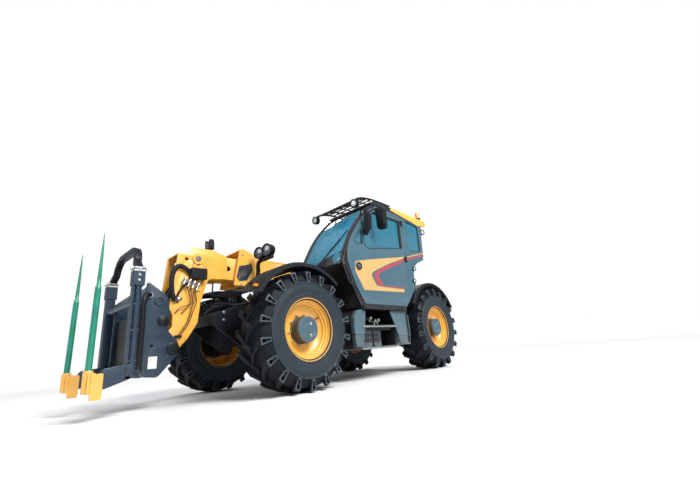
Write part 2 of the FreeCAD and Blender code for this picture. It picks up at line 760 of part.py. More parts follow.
def make_engine_bay():
    """The open tray, ends and sill that carry the bonnet, with the exhaust."""
    out = -bonnet_outer_x
    inner = -bay_inner_x()
    front = bonnet_front_y
    rear = bonnet_rear_y
    low = frame_bottom_z + 80
    top = bonnet_top_z - 60
    shapes = [box((out + 30, -frame_half_width), (front, rear), (low, low + 16))]
    end = [(out + 30, low), (out + 30, 1000), (out + 120, top - 60), (inner, top), (inner, low)]
    for y in (front, rear - step_plate):
        shapes.append(front_prism(end, (y, y + step_plate)))
    shapes.append(box((out + 30, out + 50), (front, rear), (low, 860)))
    shapes.append(box((inner - bay_wall, inner), (front, rear), (low, top)))
    for y in (front + 320, rear - 300):
        shapes.append(box((inner - 520, inner - bay_wall), (y, y + 60), (low + 16, 620)))
    stack_y = rear - 80
    stack_x = inner + 40
    shapes.append(bar((stack_x, stack_y, frame_top_z + 40), (stack_x, stack_y, 1760), 38, 12))
    shapes.append(box((inner - 5, stack_x), (stack_y - 15, stack_y + 15), (1180, 1220)))
    hinge_x = inner + bonnet_hinge_in
    for y in bonnet_hinge_ys:
        far = y + bonnet_hinge_length
        shapes.append(rod((hinge_x, y + bonnet_hinge_lug, bonnet_hinge_z),
                          (hinge_x, far - bonnet_hinge_lug, bonnet_hinge_z),
                          bonnet_hinge_pin))
        for near in (y, far - bonnet_hinge_lug):
            end_y = near + bonnet_hinge_lug
            shapes.append(bar((hinge_x, near, bonnet_hinge_z), (hinge_x, end_y, bonnet_hinge_z),
                              bonnet_hinge_radius))
            shapes.append(box((inner - 4, hinge_x + bonnet_hinge_radius), (near, end_y),
                              (top - 20, bonnet_hinge_z)))
    return join(shapes)


def make_bonnet():
    """The lifting cover over the engine: a shell open below, with louvres in its side."""
    out = -bonnet_outer_x
    inner = -bay_inner_x() - 5
    wall = bonnet_wall
    top = bonnet_top_z
    front = bonnet_front_y
    rear = bonnet_rear_y
    outline = [(out, 880), (out, 1100), (out + 90, top), (inner, top), (inner, 880)]
    shell = front_prism(outline, (front - wall - seam, rear + wall + seam))
    room = [(out + wall, 870), (out + wall, 1100), (out + 90 + wall * 0.7, top - wall),
            (inner + 15, top - wall), (inner + 15, 870)]
    shell = shell.cut(front_prism(room, (front - seam, rear + seam)))
    for i in range(louvres):
        z = 910 + 36 * i
        shell = shell.cut(box((out - 1, out + wall + 1), (front + 320, rear - 320), (z, z + 16)))
    shapes = [shell]
    hinge_x = inner + 5 + bonnet_hinge_in
    for y in bonnet_hinge_ys:
        near = y + bonnet_hinge_lug + fit_gap
        far = y + bonnet_hinge_length - bonnet_hinge_lug - fit_gap
        barrel = bar((hinge_x, near, bonnet_hinge_z), (hinge_x, far, bonnet_hinge_z), bonnet_hinge_radius)
        leaf = barrel.fuse(box((inner - 15, hinge_x), (near, far), (top - 9, bonnet_hinge_z)))
        bore = bar((hinge_x, near - 1, bonnet_hinge_z), (hinge_x, far + 1, bonnet_hinge_z),
                   bonnet_hinge_pin + fit_gap)
        shapes.append(leaf.cut(bore))
    return join(shapes)


def make_door_mirror():
    """The mirror on an arm from the door's frame."""
    x = cab_outer_x
    head = box((x + 70, x + 240), (395, 440), (2040, 2330))
    arm = bar((x + 6, 330, 2200), (x + 150, 405, 2240), 10, 6)
    foot = box((x, x + 12), (310, 350), (2160, 2240))
    return join([head, arm, foot])


def make_right_mirror():
    """The mirror on its stalk on the right front mudguard."""
    y = front_axle_y
    foot_z = mudguard_top(y) + fit_gap
    x = -mudguard_outer_x + 60
    far = -cab_outer_x - 70
    stalk = bar((x, y, foot_z), (x, y, 1650), 12, 6)
    head = box((far - 170, far), (y - 22, y + 22), (1560, 1850))
    arm = bar((x, y, 1630), (far - 30, y, 1630), 10, 6)
    return join([stalk, arm, head])


def make_lamps():
    """Work lamps hung from the guard's front corners, and the roof's beacon."""
    shapes = []
    hang_z = cab_roof_z + roof_rise - 90 - guard_bar / 2 / math.cos(math.pi / 6) - fit_gap
    for x in (cab_inner_x + guard_margin, cab_outer_x - guard_margin):
        lamp = bar((x, 80, 2320), (x, 150, 2320), work_lamp_radius, 12)
        shapes.append(lamp.fuse(bar((x, 150, 2330), (x, 150, hang_z), 11, 6)))
    beacon_y = rear_axle_y + 5
    shapes.append(bar((cab_outer_x - 60, beacon_y, cab_roof_z + roof_rise),
                      (cab_outer_x - 60, beacon_y, cab_roof_z + 250), 46, 12))
    return Part.makeCompound(shapes)


def make_headlamps():
    """A pair of round lamps on a curved bracket from the frame."""
    y = front_axle_y
    inner = frame_half_width - 28
    outline = [(y - 155, nose_top_z), (y - 115, nose_top_z), (y - 55, 1400), (y - 55, 1600), (y - 85, 1600),
               (y - 100, 1400)]
    shapes = [side_prism(outline, (inner, frame_half_width)),
              box((inner, inner + 258), (y - 85, y - 60), (1560, 1600))]
    for x in (inner + 98, inner + 218):
        shapes.append(bar((x, y - 125, 1640), (x, y - 60, 1640), road_lamp_radius, 12))
    return join(shapes)


def collar_side():
    """The collar's side outline, at the outer boom's front."""
    y = outer_front_y
    low = outer_bottom_z
    top = outer_top_z
    return [(y - 97, low), (y - 21, top + 83), (y + 35, top + 97), (y + 200, top + 31), (y + 405, top),
            (y + 405, low)]


def make_outer_boom():
    """The outer section: four welded plates, the collar round its mouth, wear pads, the pivot's boss and the
    lift cylinder's ears, face to face as they are welded."""
    w = outer_half_width
    wall = outer_wall
    low = outer_bottom_z
    top = outer_top_z
    front = outer_front_y
    rear = outer_rear_y
    shapes = [box((-w, w), (front, rear), (top - wall, top))]
    floor = box((-w, w), (front, rear), (low, low + wall))
    ears = []
    for side in (-1, 1):
        near = eye_half_width + slide_gap
        ears.append(side_prism([(lift_eye_y - 150, low), (lift_eye_y - 60, lift_eye_z - 50),
                                (lift_eye_y + 60, lift_eye_z - 50),
                                (lift_eye_y + 150, low)], span(side, near, near + 25)))
        web = box(span(side, w - wall, w), (front, rear), (low + wall, top - wall))
        window = [(front - 58, low + 76), (front - 5, low + 251), (front + 146, low + 289),
                  (front + 139, low + 203)]
        cheek = side_prism(collar_side(), span(side, w, w + collar_wall))
        for plate, x in ((web, span(side, w - wall - 1, w)), (cheek, span(side, w, w + collar_wall + 1))):
            shapes.append(plate.cut(side_prism(window, x)))
    shapes.append(join([floor] + ears))
    # The collar's raised top and the pad carriers inside the tube.
    lid = [(front - 21, top + 83), (front + 35, top + 97), (front + 200, top + 31), (front + 405, top)]
    shapes.append(side_prism(lid + [(y, z - collar_wall if z > top else z) for y, z in reversed(lid[:3])],
                             (-w, w)))
    boss = bar((-235, boom_pivot_y, boom_pivot_z), (235, boom_pivot_y, boom_pivot_z), pivot_boss_radius, 12)
    bore = bar((-300, boom_pivot_y, boom_pivot_z), (300, boom_pivot_y, boom_pivot_z),
               pivot_pin_radius + fit_gap, 12)
    shapes.append(boss.cut(Part.makeCompound([s.copy() for s in shapes])))
    shapes = [shape.cut(bore) for shape in shapes]
    for y in (front + 60, rear_axle_y - 975):
        shapes.append(box((-60, 60), (y, y + 60), (low + wall, inner_bottom_z - fit_gap)))
        shapes.append(box((-60, 60), (y, y + 60), (inner_top_z + fit_gap, top - wall)))
    return shapes


HEAD_SIDE = [(32, 1568), (157, 1640), (415, 1646), (610, 1590), (600, 1310), (379, 1294), (296, 1026),
             (272, 801), (171, 635),
             (65, 520), (-43, 520), (-60, 600), (-43, 692), (8, 760), (8, 880), (-31, 950)]


def make_inner_boom():
    """The hollow inner section with the two gooseneck plates of the head."""
    w = inner_half_width
    low = inner_bottom_z
    top = inner_top_z
    y = tilt_pivot_y
    front = y + 400
    wide = head_half_width
    tube = box((-w, w), (front, inner_rear_y), (low, top))
    tube = tube.cut(box((-w + inner_wall, w - inner_wall), (front + inner_wall, inner_rear_y + 1),
                        (low + inner_wall, top - inner_wall)))
    shapes = [tube]
    for side in (-1, 1):
        plate = side_prism(from_axle(y, HEAD_SIDE), span(side, wide - head_plate, wide))
        boss = bar((side * (wide - head_plate), y, tilt_pivot_z), (side * (wide + 14), y, tilt_pivot_z),
                   tilt_boss_radius, 12)
        cheek = box(span(side, w, wide), (front + 20, front + 160), (low + 20, top - 20))
        pin = rod((side * wide, y, tilt_pivot_z), (side * carriage_half_width, y, tilt_pivot_z),
                  tilt_pin_radius)
        base_boss = bar((side * wide, tilt_base_y, tilt_base_z),
                        (side * (wide + 10), tilt_base_y, tilt_base_z), 48, 8)
        shapes += [plate, boss, cheek, pin, base_boss]
    shapes.append(box((-wide, wide), (y + 300, y + 400), (top + 20, top + 46)))
    shapes.append(rod((-wide, tilt_base_y, tilt_base_z), (wide, tilt_base_y, tilt_base_z),
                      tilt_base_pin_radius))
    shapes.append(bar((-wide + 5, y + 200, 800), (wide - 5, y + 200, 800), 30, 8))
    return join(shapes)


def make_valve_block():
    """The hydraulic block with its couplers on the head's left side."""
    x = head_half_width
    y = tilt_pivot_y
    shapes = [box((x, x + 70), (y + 163, y + 325), (1269, 1389))]
    for i in range(3):
        coupler_y = y + 300 - 60 * i
        shapes.append(bar((x + 35, coupler_y, 1180), (x + 35, coupler_y, 1275), 16, 8))
    return join(shapes)


def make_head_lamp():
    """The round lamp on top of the head."""
    y = tilt_pivot_y + 380
    plate_top = inner_top_z + 46
    stem = bar((0, y, plate_top), (0, y, plate_top + 70), 12, 6)
    return stem.fuse(bar((0, y - 35, plate_top + 109), (0, y + 30, plate_top + 109), head_lamp_radius, 12))


CARRIAGE_SIDE = [(-276, 1202), (-75, 1059), (-42, 882), (-61, 722), (50, 600), (50, 480), (-127, 281),
                 (-266, 296), (-272, 711),
                 (-carriage_reach, 992)]


def make_carriage():
    """The tilting plates on the head's foot with the tubes that join them."""
    y = tilt_pivot_y
    wide = carriage_half_width
    inner = wide - carriage_plate
    shapes = []
    for side in (-1, 1):
        plate = side_prism(from_axle(y, CARRIAGE_SIDE), span(side, inner, wide))
        plate = plate.cut(bar((side * (inner - 1), y, tilt_pivot_z), (side * (wide + 1), y, tilt_pivot_z),
                              tilt_pin_radius + fit_gap, 12))
        stub = bar((side * inner, tilt_eye_y, tilt_eye_z),
                   (side * (eye_half_width + 50), tilt_eye_y, tilt_eye_z), stub_radius, 8)
        shapes += [plate, stub]
        for boss_y, boss_z, radius in ((y - 154, tilt_pivot_z + 467, 46), (tilt_eye_y, tilt_eye_z, 50)):
            shapes.append(bar((side * wide, boss_y, boss_z), (side * (wide + 12), boss_y, boss_z), radius,
                              10))
    for tube_y, z, radius in ((y - 230, 1120, 34), (y - 205, 345, 40)):
        shapes.append(bar((-inner, tube_y, z), (inner, tube_y, z), radius, 8))
    return join(shapes)


def make_tool_frame():
    """The fork's frame: channel uprights, a lower beam, a cross tube, hitch plates and hinge brackets."""
    half = upright_size / 2
    wall = upright_wall
    y = upright_y
    hinge_y = tine_hinge_y
    hinge_z = tine_hinge_z
    bracket = [(y, hinge_z + 30), (y, hinge_z + 150), (hinge_y + 30, hinge_z + 130),
               (hinge_y - 30, hinge_z + 30),
               (hinge_y - 30, hinge_z - 25), (hinge_y + 30, hinge_z - 30)]
    shapes = []
    for side in (-1, 1):
        post = box(span(side, upright_x - half, upright_x + half), (y - half, y + half),
                   (upright_bottom_z, upright_top_z))
        hollow = box(span(side, upright_x - half + wall, upright_x + half - wall),
                     (y - half + wall, y + half + 1),
                     (lower_beam_z + lower_beam_half + 20, cross_tube_z - cross_tube_half - 20))
        shapes.append(post.cut(hollow))
        sleeve = half + sleeve_wall
        shapes.append(box(span(side, upright_x - sleeve, upright_x + sleeve), (y - sleeve, y + sleeve),
                          (upright_top_z - sleeve_height, upright_top_z)))
        inner_x = tine_x - tine_ear_half - slide_gap
        outer_x = tine_x + tine_ear_half + slide_gap
        shapes.append(side_prism(bracket, span(side, outer_x, outer_x + bracket_plate)))
        shapes.append(side_prism(bracket, span(side, inner_x - bracket_plate, inner_x)))
        shapes.append(rod((side * inner_x, hinge_y, hinge_z), (side * outer_x, hinge_y, hinge_z),
                          tine_pin_radius))
        plate = side_prism([(y, 330), (carriage_front_y, 300), (carriage_front_y, 1140), (y, 1020)],
                           span(side, carriage_half_width - carriage_plate, carriage_half_width))
        shapes.append(plate)
        shapes.append(box(span(side, upright_x - half - 30, outer_x + bracket_plate), (y - half, y + half),
                          (hinge_z + 32, upright_bottom_z)))
    for z, size in ((lower_beam_z, lower_beam_half), (cross_tube_z, cross_tube_half)):
        shapes.append(box((-upright_x, upright_x), (y - half, y + half), (z - size, z + size)))
    return join(shapes)


def make_hoop():
    """The black hoop over the frame, a square bar with rounded bends."""
    half = hoop_bar / 2
    top_z = upright_top_z + hoop_rise
    corner_x = upright_x - hoop_lean
    sizes = []
    for out in (half, -half):
        bend = hoop_bend + out
        line = [(upright_x + out, upright_top_z)]
        for i in range(4):
            turn = math.radians(30 * i)
            line.append((corner_x - hoop_bend + bend * math.cos(turn),
                         top_z - half - hoop_bend + bend * math.sin(turn)))
        sizes.append(line + [(-x, z) for x, z in reversed(line)])
    return front_prism(sizes[0] + sizes[1][::-1], (upright_y - half, upright_y + half))


def make_tine():
    """The left spike with its socket, standing folded up."""
    h = holder_size / 2
    y = tine_y
    # The spike is turned: thick and straight below the step, then tapering to its point.
    outline = [(tine_base_z - 60, tine_radius), (tine_step_z, tine_radius),
               (tine_step_z + 10, tine_neck_radius),
               (tine_tip_z, tine_tip_radius)]
    closed = [(z, 0.5) for z in (tine_tip_z, tine_base_z - 60)]
    spike = faceted_ring(outline + closed,
                         10).fuse(bar((tine_base_z - 60, 0, 0), (tine_tip_z, 0, 0), 0.5, 10))
    spike.rotate(ORIGIN, Y_AXIS, -90)
    spike.translate(V(tine_x, y, 0))
    socket = box((tine_x - h, tine_x + h), (y - h, y + h), (tine_hinge_z - 20, tine_base_z))
    ear = side_prism([(y, tine_hinge_z - 40), (y, tine_hinge_z + 80), (tine_hinge_y, tine_hinge_z + 36),
                      (tine_hinge_y + 34, tine_hinge_z), (tine_hinge_y, tine_hinge_z - 36)],
                     (tine_x - tine_ear_half, tine_x + tine_ear_half))
    bore = bar((tine_x - h, tine_hinge_y, tine_hinge_z), (tine_x + h, tine_hinge_y, tine_hinge_z),
               tine_pin_radius + fit_gap, 12)
    return join([spike, socket, ear]).cut(bore)


def cylinder_pair(base, eye, barrel_radius, rod_radius, pin_radius, grip, sink):
    """A ram's barrel and rod, lying between two pins given as (y, z). The barrel stops short of the eye by
    grip, and the rod can go in further by sink."""
    a = V(0, base[0], base[1])
    b = V(0, eye[0], eye[1])
    length = (b - a).Length
    way = (b - a).normalize()
    foot_wall = pin_radius + eye_wall
    floor = foot_wall + 2 * eye_wall
    start = floor + sink
    barrel = bar(tuple(a + way * foot_wall), tuple(a + way * (length - grip)), barrel_radius, 12)
    gland = bar(tuple(a + way * (length - grip - 46)), tuple(a + way * (length - grip)), barrel_radius + 6,
                12)
    foot = bar((-eye_half_width, base[0], base[1]), (eye_half_width, base[0], base[1]), foot_wall, 12)
    neck = bar(tuple(a), tuple(a + way * (foot_wall + 10)), barrel_radius * 0.6, 8)
    barrel = join([barrel, gland, foot, neck])
    barrel = barrel.cut(bar((-200, base[0], base[1]), (200, base[0], base[1]), pin_radius + fit_gap, 12))
    barrel = barrel.cut(bar(tuple(a + way * floor), tuple(a + way * length), rod_radius + fit_gap, 12))
    stem = bar(tuple(a + way * start), tuple(b), rod_radius, 12)
    head = bar((-eye_half_width, eye[0], eye[1]), (eye_half_width, eye[0], eye[1]), pin_radius + eye_wall, 12)
    return barrel, stem.fuse(head)


def export(name, shape):
    """Write one node's STEP file."""
    shape.exportStep("parts/" + name + ".step")


os.makedirs("parts", exist_ok=True)

tyre = make_tyre()
rim = make_rim()
knuckle = make_knuckle()
right_knuckle = mirrored(knuckle)
right_tyre = mirrored(tyre)
right_rim = mirrored(rim)
for end, y in (("front", front_axle_y), ("rear", rear_axle_y)):
    export(end + "_left_tyre", moved(tyre, wheel_x, y, axle_z))
    export(end + "_right_tyre", moved(right_tyre, -wheel_x, y, axle_z))
    export(end + "_left_rim", moved(rim, wheel_x, y, axle_z))
    export(end + "_right_rim", moved(right_rim, -wheel_x, y, axle_z))
    export(end + "_left_knuckle", moved(knuckle, 0, y, 0))
    export(end + "_right_knuckle", moved(right_knuckle, 0, y, 0))

lift_barrel, lift_rod = cylinder_pair((lift_base_y, lift_base_z), (lift_eye_y, lift_eye_z),
                                      lift_barrel_radius,
                                      lift_rod_radius, lift_pin_radius, 190, lift_sink)
tilt_barrel, tilt_rod = cylinder_pair((tilt_base_y, tilt_base_z), (tilt_eye_y, tilt_eye_z),
                                      tilt_barrel_radius,
                                      tilt_rod_radius, tilt_base_pin_radius, 125, tilt_sink)
tine = make_tine()

nodes = {
    "chassis_frame": make_frame(),
    "front_axle": make_axle(front_axle_y, 1),
    "rear_axle": make_axle(rear_axle_y, -1),
    "front_mudguards": make_front_mudguards(),
    "rear_mudguards": make_rear_mudguards(),
    "counterweight": make_counterweight(),
    "tow_hitch": make_tow_hitch(),
    "cab_frame": make_cab(),
    "cab_glass": make_cab_glass(),
    "cab_roof": make_roof(),
    "roof_guard": make_roof_guard(),
    "door": make_door(),
    "door_glass": make_door_glass(),
    "seat": make_seat(),
    "steering_column": make_column(),
    "step_unit": make_steps(),
    "fuel_tank": make_tank(),
    "engine_block": make_engine(),
    "engine_bay": make_engine_bay(),
    "bonnet": make_bonnet(),
    "door_mirror": make_door_mirror(),
    "right_mirror": make_right_mirror(),
    "lamps": make_lamps(),
    "headlamps": make_headlamps(),
    "outer_boom": Part.makeCompound(make_outer_boom()),
    "inner_boom": make_inner_boom(),
    "valve_block": make_valve_block(),
    "head_lamp": make_head_lamp(),
    "carriage": make_carriage(),
    "fork_frame": make_tool_frame(),
    "fork_hoop": make_hoop(),
    "left_tine": tine,
    "right_tine": mirrored(tine),
    "lift_barrel": lift_barrel,
    "lift_rod": lift_rod,
    "tilt_barrel": tilt_barrel,
    "tilt_rod": tilt_rod,
}
for name, shape in nodes.items():
    export(name, shape)
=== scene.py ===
import json
import math
import bmesh
import bpy
from mathutils import Matrix, Vector


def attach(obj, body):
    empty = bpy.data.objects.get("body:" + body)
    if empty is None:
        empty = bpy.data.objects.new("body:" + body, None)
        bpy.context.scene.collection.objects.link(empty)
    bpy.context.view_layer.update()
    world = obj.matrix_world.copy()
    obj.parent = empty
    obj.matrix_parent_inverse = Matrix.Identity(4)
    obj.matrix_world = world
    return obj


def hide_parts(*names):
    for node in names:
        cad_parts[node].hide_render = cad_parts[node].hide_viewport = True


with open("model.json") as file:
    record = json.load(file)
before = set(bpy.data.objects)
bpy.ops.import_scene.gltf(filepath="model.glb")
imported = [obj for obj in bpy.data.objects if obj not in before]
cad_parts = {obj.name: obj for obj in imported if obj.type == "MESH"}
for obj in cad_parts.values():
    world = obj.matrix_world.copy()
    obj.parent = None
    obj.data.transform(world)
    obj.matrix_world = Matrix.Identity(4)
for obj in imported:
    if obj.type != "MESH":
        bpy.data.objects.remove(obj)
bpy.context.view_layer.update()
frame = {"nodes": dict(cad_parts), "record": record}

# Telehandler with a folded bale fork. X points to the machine's left, Y to its rear and Z up, in metres.
NODES = frame["nodes"]

# Camera, beside the left front wheel and low above the ground
CAMERA_PLACE = Vector((3.936, -3.35, 0.371))
CAMERA_HEADING = math.radians(131.184)
CAMERA_RISE = math.radians(16.184)
CAMERA_LEAN = math.radians(-4.968)
CAMERA_LENS = 17.82

# Paints and other colours
YELLOW = (0.8, 0.4, 0.055)
SLATE = (0.041, 0.098, 0.128)
BLACK_PAINT = (0.005, 0.007, 0.01)
# One rubber in two tones: the tread painted darker as painted shade, the sidewall lighter as painted light
TREAD_RUBBER_PAINTED_SHADE = (0.003, 0.005, 0.0085)
SIDE_RUBBER_PAINTED_LIGHT = (0.017, 0.026, 0.034)
# Pale rubber: the colour of worn edges, and a painted highlight on the tyres' rings and pocket rims
RUBBER_WEAR_AND_HIGHLIGHT = (0.045, 0.064, 0.078)
DUST = (0.42, 0.36, 0.28)
STEEL = (0.56, 0.57, 0.58)


def add_node(tree, kind, values=None, **settings):
    """A node in a tree, with its settings and the values of its inputs."""
    node = tree.nodes.new(kind)
    for name, value in settings.items():
        setattr(node, name, value)
    for key, value in (values or {}).items():
        node.inputs[key].default_value = value
    return node


def link(tree, source, output, target, field):
    """Joins one node's output to another's input."""
    tree.links.new(source.outputs[output], target.inputs[field])


def feed(tree, source, socket):
    """Joins a (node, output) pair to a socket."""
    tree.links.new(source[0].outputs[source[1]], socket)


def new_group(name, inputs, outputs):
    """An empty shader group with inputs and outputs that are plain numbers, and its two end nodes."""
    group = bpy.data.node_groups.new(name, "ShaderNodeTree")
    for label, value in inputs.items():
        socket = group.interface.new_socket(label, in_out="INPUT", socket_type="NodeSocketFloat")
        socket.default_value = value
    for label in outputs:
        group.interface.new_socket(label, in_out="OUTPUT", socket_type="NodeSocketFloat")
    return group, group.nodes.new("NodeGroupInput"), group.nodes.new("NodeGroupOutput")


def maths(tree, operation, first, second=None, clamp=False):
    """A maths node whose operands are numbers or (node, output) pairs; returns its (node, output)."""
    node = add_node(tree, "ShaderNodeMath", operation=operation, use_clamp=clamp)
    for i, operand in enumerate((first, second)):
        if isinstance(operand, tuple):
            feed(tree, operand, node.inputs[i])
        elif operand is not None:
            node.inputs[i].default_value = operand
    return node, 0


def noise(tree, scale, detail=3.0, roughness=0.55):
    """Noise over the object's own coordinates."""
    place = add_node(tree, "ShaderNodeTexCoord")
    node = add_node(tree, "ShaderNodeTexNoise", {"Scale": scale, "Detail": detail, "Roughness": roughness})
    link(tree, place, "Object", node, "Vector")
    return node


def ramp(tree, source, low, high):
    """Stretches the part of a value between low and high over nought to one."""
    node = add_node(tree, "ShaderNodeMapRange", {"From Min": low, "From Max": high}, clamp=True)
    feed(tree, source, node.inputs["Value"])
    return node, "Result"


def make_edge_group():
    """Where outer edges lie, broken up by noise, for paint worn thin."""
    tree, given, out = new_group("worn_edges", {"Width": 0.006, "Amount": 0.5}, ["Mask"])
    soft = add_node(tree, "ShaderNodeBevel", samples=4)
    link(tree, given, "Width", soft, "Radius")
    hard = add_node(tree, "ShaderNodeNewGeometry")
    angle = add_node(tree, "ShaderNodeVectorMath", operation="DOT_PRODUCT")
    link(tree, soft, "Normal", angle, 0)
    link(tree, hard, "Normal", angle, 1)
    edge = maths(tree, "SUBTRACT", 1.0, (angle, "Value"))
    edge = ramp(tree, edge, 0.02, 0.22)
    broken = ramp(tree, (noise(tree, 38.0, 6.0), "Fac"), 0.46, 0.62)
    mask = maths(tree, "MULTIPLY", edge, broken)
    mask = maths(tree, "MULTIPLY", mask, (given, "Amount"), clamp=True)
    feed(tree, mask, out.inputs["Mask"])
    return tree


def make_dust_group():
    """Dust that lies on upward faces, thickens towards the ground and is broken up by noise."""
    tree, given, out = new_group("road_dust", {"Amount": 0.5, "Splash Height": 1.1}, ["Mask"])
    face = add_node(tree, "ShaderNodeNewGeometry")
    normal = add_node(tree, "ShaderNodeSeparateXYZ")
    link(tree, face, "Normal", normal, 0)
    upward = ramp(tree, (normal, "Z"), 0.1, 1.0)
    place = add_node(tree, "ShaderNodeTexCoord")
    height = add_node(tree, "ShaderNodeSeparateXYZ")
    link(tree, place, "Object", height, 0)
    low = maths(tree, "SUBTRACT", (given, "Splash Height"), (height, "Z"))
    low = ramp(tree, low, 0.0, 1.1)
    cloudy = ramp(tree, (noise(tree, 3.5, 8.0, 0.65), "Fac"), 0.32, 0.78)
    speckle = ramp(tree, (noise(tree, 60.0, 4.0), "Fac"), 0.42, 0.72)
    film = maths(tree, "MULTIPLY", maths(tree, "ADD", maths(tree, "MULTIPLY", upward, 0.55), low), cloudy)
    film = maths(tree, "ADD", film, maths(tree, "MULTIPLY", maths(tree, "MULTIPLY", low, speckle), 0.25))
    mask = maths(tree, "MULTIPLY", film, (given, "Amount"), clamp=True)
    feed(tree, mask, out.inputs["Mask"])
    return tree


def make_grain_group():
    """A fine skin: a height for bump and a faint mottle for colour and roughness."""
    tree, given, out = new_group("fine_grain", {"Scale": 220.0, "Mottle Scale": 6.0}, ["Height", "Mottle"])
    place = add_node(tree, "ShaderNodeTexCoord")
    fine = add_node(tree, "ShaderNodeTexNoise", {"Detail": 2.0})
    broad = add_node(tree, "ShaderNodeTexNoise", {"Detail": 5.0, "Roughness": 0.6})
    for node, scale in ((fine, "Scale"), (broad, "Mottle Scale")):
        link(tree, place, "Object", node, "Vector")
        link(tree, given, scale, node, "Scale")
    link(tree, fine, "Fac", out, "Height")
    link(tree, broad, "Fac", out, "Mottle")
    return tree


EDGES = make_edge_group()
ROAD_DUST = make_dust_group()
GRAIN = make_grain_group()


def group_node(tree, group, **values):
    """A placed shader group with its input values."""
    node = tree.nodes.new("ShaderNodeGroup")
    node.node_tree = group
    for name, value in values.items():
        node.inputs[name.replace("_", " ")].default_value = value
    return node


def mix_colour(tree, mask, under, over):
    """Two colours mixed by a mask; each is a colour value or a (node, output) pair."""
    node = add_node(tree, "ShaderNodeMix", data_type="RGBA")
    feed(tree, mask, node.inputs["Factor"])
    for socket, colour in ((node.inputs[6], under), (node.inputs[7], over)):
        if isinstance(colour[0], bpy.types.Node):
            feed(tree, colour, socket)
        else:
            socket.default_value = (*colour, 1.0)
    return node, 2


def surface(name, colour, roughness, metallic=0.0, grain=220.0, bump=0.05, dust=0.4, splash=1.1, wear=0.0,
            worn=STEEL, bevel=0.004, coat=0.0, mottle=0.12, shine=0.5):
    """A finish with rounded edges, fine grain, mottled colour, worn edges and road dust."""
    material = bpy.data.materials.new(name)
    material.use_nodes = True
    tree = material.node_tree
    shader = tree.nodes["Principled BSDF"]
    shader.inputs["Metallic"].default_value = metallic
    shader.inputs["Specular IOR Level"].default_value = shine
    shader.inputs["Coat Weight"].default_value = coat
    shader.inputs["Coat Roughness"].default_value = 0.12
    skin = group_node(tree, GRAIN, Scale=grain)
    film = group_node(tree, ROAD_DUST, Amount=dust, Splash_Height=splash)
    deep = tuple(c * (1.0 - mottle * 1.6) for c in colour)
    bright = tuple(min(1.0, c * (1.0 + mottle)) for c in colour)
    paint = mix_colour(tree, ramp(tree, (skin, "Mottle"), 0.3, 0.7), deep, bright)
    if wear:
        worn_mask = group_node(tree, EDGES, Width=bevel * 2.5, Amount=wear)
        paint = mix_colour(tree, (worn_mask, "Mask"), paint, worn)
    finish = mix_colour(tree, (film, "Mask"), paint, DUST)
    feed(tree, finish, shader.inputs["Base Color"])
    rough = maths(tree, "ADD", maths(tree, "MULTIPLY", (skin, "Mottle"), 0.18), roughness - 0.09)
    rough = maths(tree, "ADD", rough, maths(tree, "MULTIPLY", (film, "Mask"), 0.6), clamp=True)
    feed(tree, rough, shader.inputs["Roughness"])
    relief = add_node(tree, "ShaderNodeBump", {"Strength": bump, "Distance": 0.01})
    link(tree, skin, "Height", relief, "Height")
    if bevel:
        soft = add_node(tree, "ShaderNodeBevel", {"Radius": bevel}, samples=4)
        link(tree, soft, "Normal", relief, "Normal")
    link(tree, relief, "Normal", shader, "Normal")
    return material


def glass_sheet(name, tint, see_through):
    """Tinted safety glass: thin, part see-through, with a faint film of dust."""
    material = bpy.data.materials.new(name)
    material.use_nodes = True
    tree = material.node_tree
    shader = tree.nodes["Principled BSDF"]
    film = group_node(tree, ROAD_DUST, Amount=0.25, Splash_Height=2.2)
    colour = mix_colour(tree, (film, "Mask"), tint, DUST)
    feed(tree, colour, shader.inputs["Base Color"])
    haze = maths(tree, "ADD", maths(tree, "MULTIPLY", (film, "Mask"), 0.3), 0.03)
    feed(tree, haze, shader.inputs["Roughness"])
    solid = maths(tree, "ADD", maths(tree, "MULTIPLY", (film, "Mask"), 0.4), 1.0 - see_through, clamp=True)
    feed(tree, solid, shader.inputs["Alpha"])
    shader.inputs["Specular IOR Level"].default_value = 0.6
    return material


PAINT = surface("machine_yellow", YELLOW, 0.34, bump=0.03, dust=0.22, wear=0.25, worn=(0.16, 0.12, 0.09),
                coat=0.35, mottle=0.05)
RIM_PAINT = surface("rim_yellow", YELLOW, 0.36, bump=0.03, dust=0.22, splash=0.1, bevel=0.003, coat=0.3,
                    mottle=0.05)
PANEL_PAINT = surface("slate_paint", SLATE, 0.36, bump=0.03, dust=0.3, wear=0.2, coat=0.3, mottle=0.07)
HUB_PAINT = surface("hub_slate", (0.044, 0.09, 0.12), 0.42, bump=0.04, dust=0.2, splash=0.1, wear=0.2,
                    mottle=0.07)
# The fork's and carriage's own dark slate, deepened further as painted shade for their shadowed front faces
FORK_SLATE_AND_SHADE = surface("fork_slate_and_painted_shade", (0.009, 0.027, 0.05), 0.4, bump=0.04, dust=0.08, wear=0.3, coat=0.2,
                     mottle=0.08, shine=0.35)
BLACK = surface("black_paint", BLACK_PAINT, 0.45, bump=0.04, dust=0.05, wear=0.25, worn=RUBBER_WEAR_AND_HIGHLIGHT,
                coat=0.05, shine=0.2)
GLOSS_BLACK = surface("cab_black", (0.006, 0.007, 0.009), 0.25, bump=0.01, dust=0.14, coat=0.35, mottle=0.08)
PLASTIC = surface("black_plastic", BLACK_PAINT, 0.6, grain=420.0, bump=0.12, dust=0.04, shine=0.2)
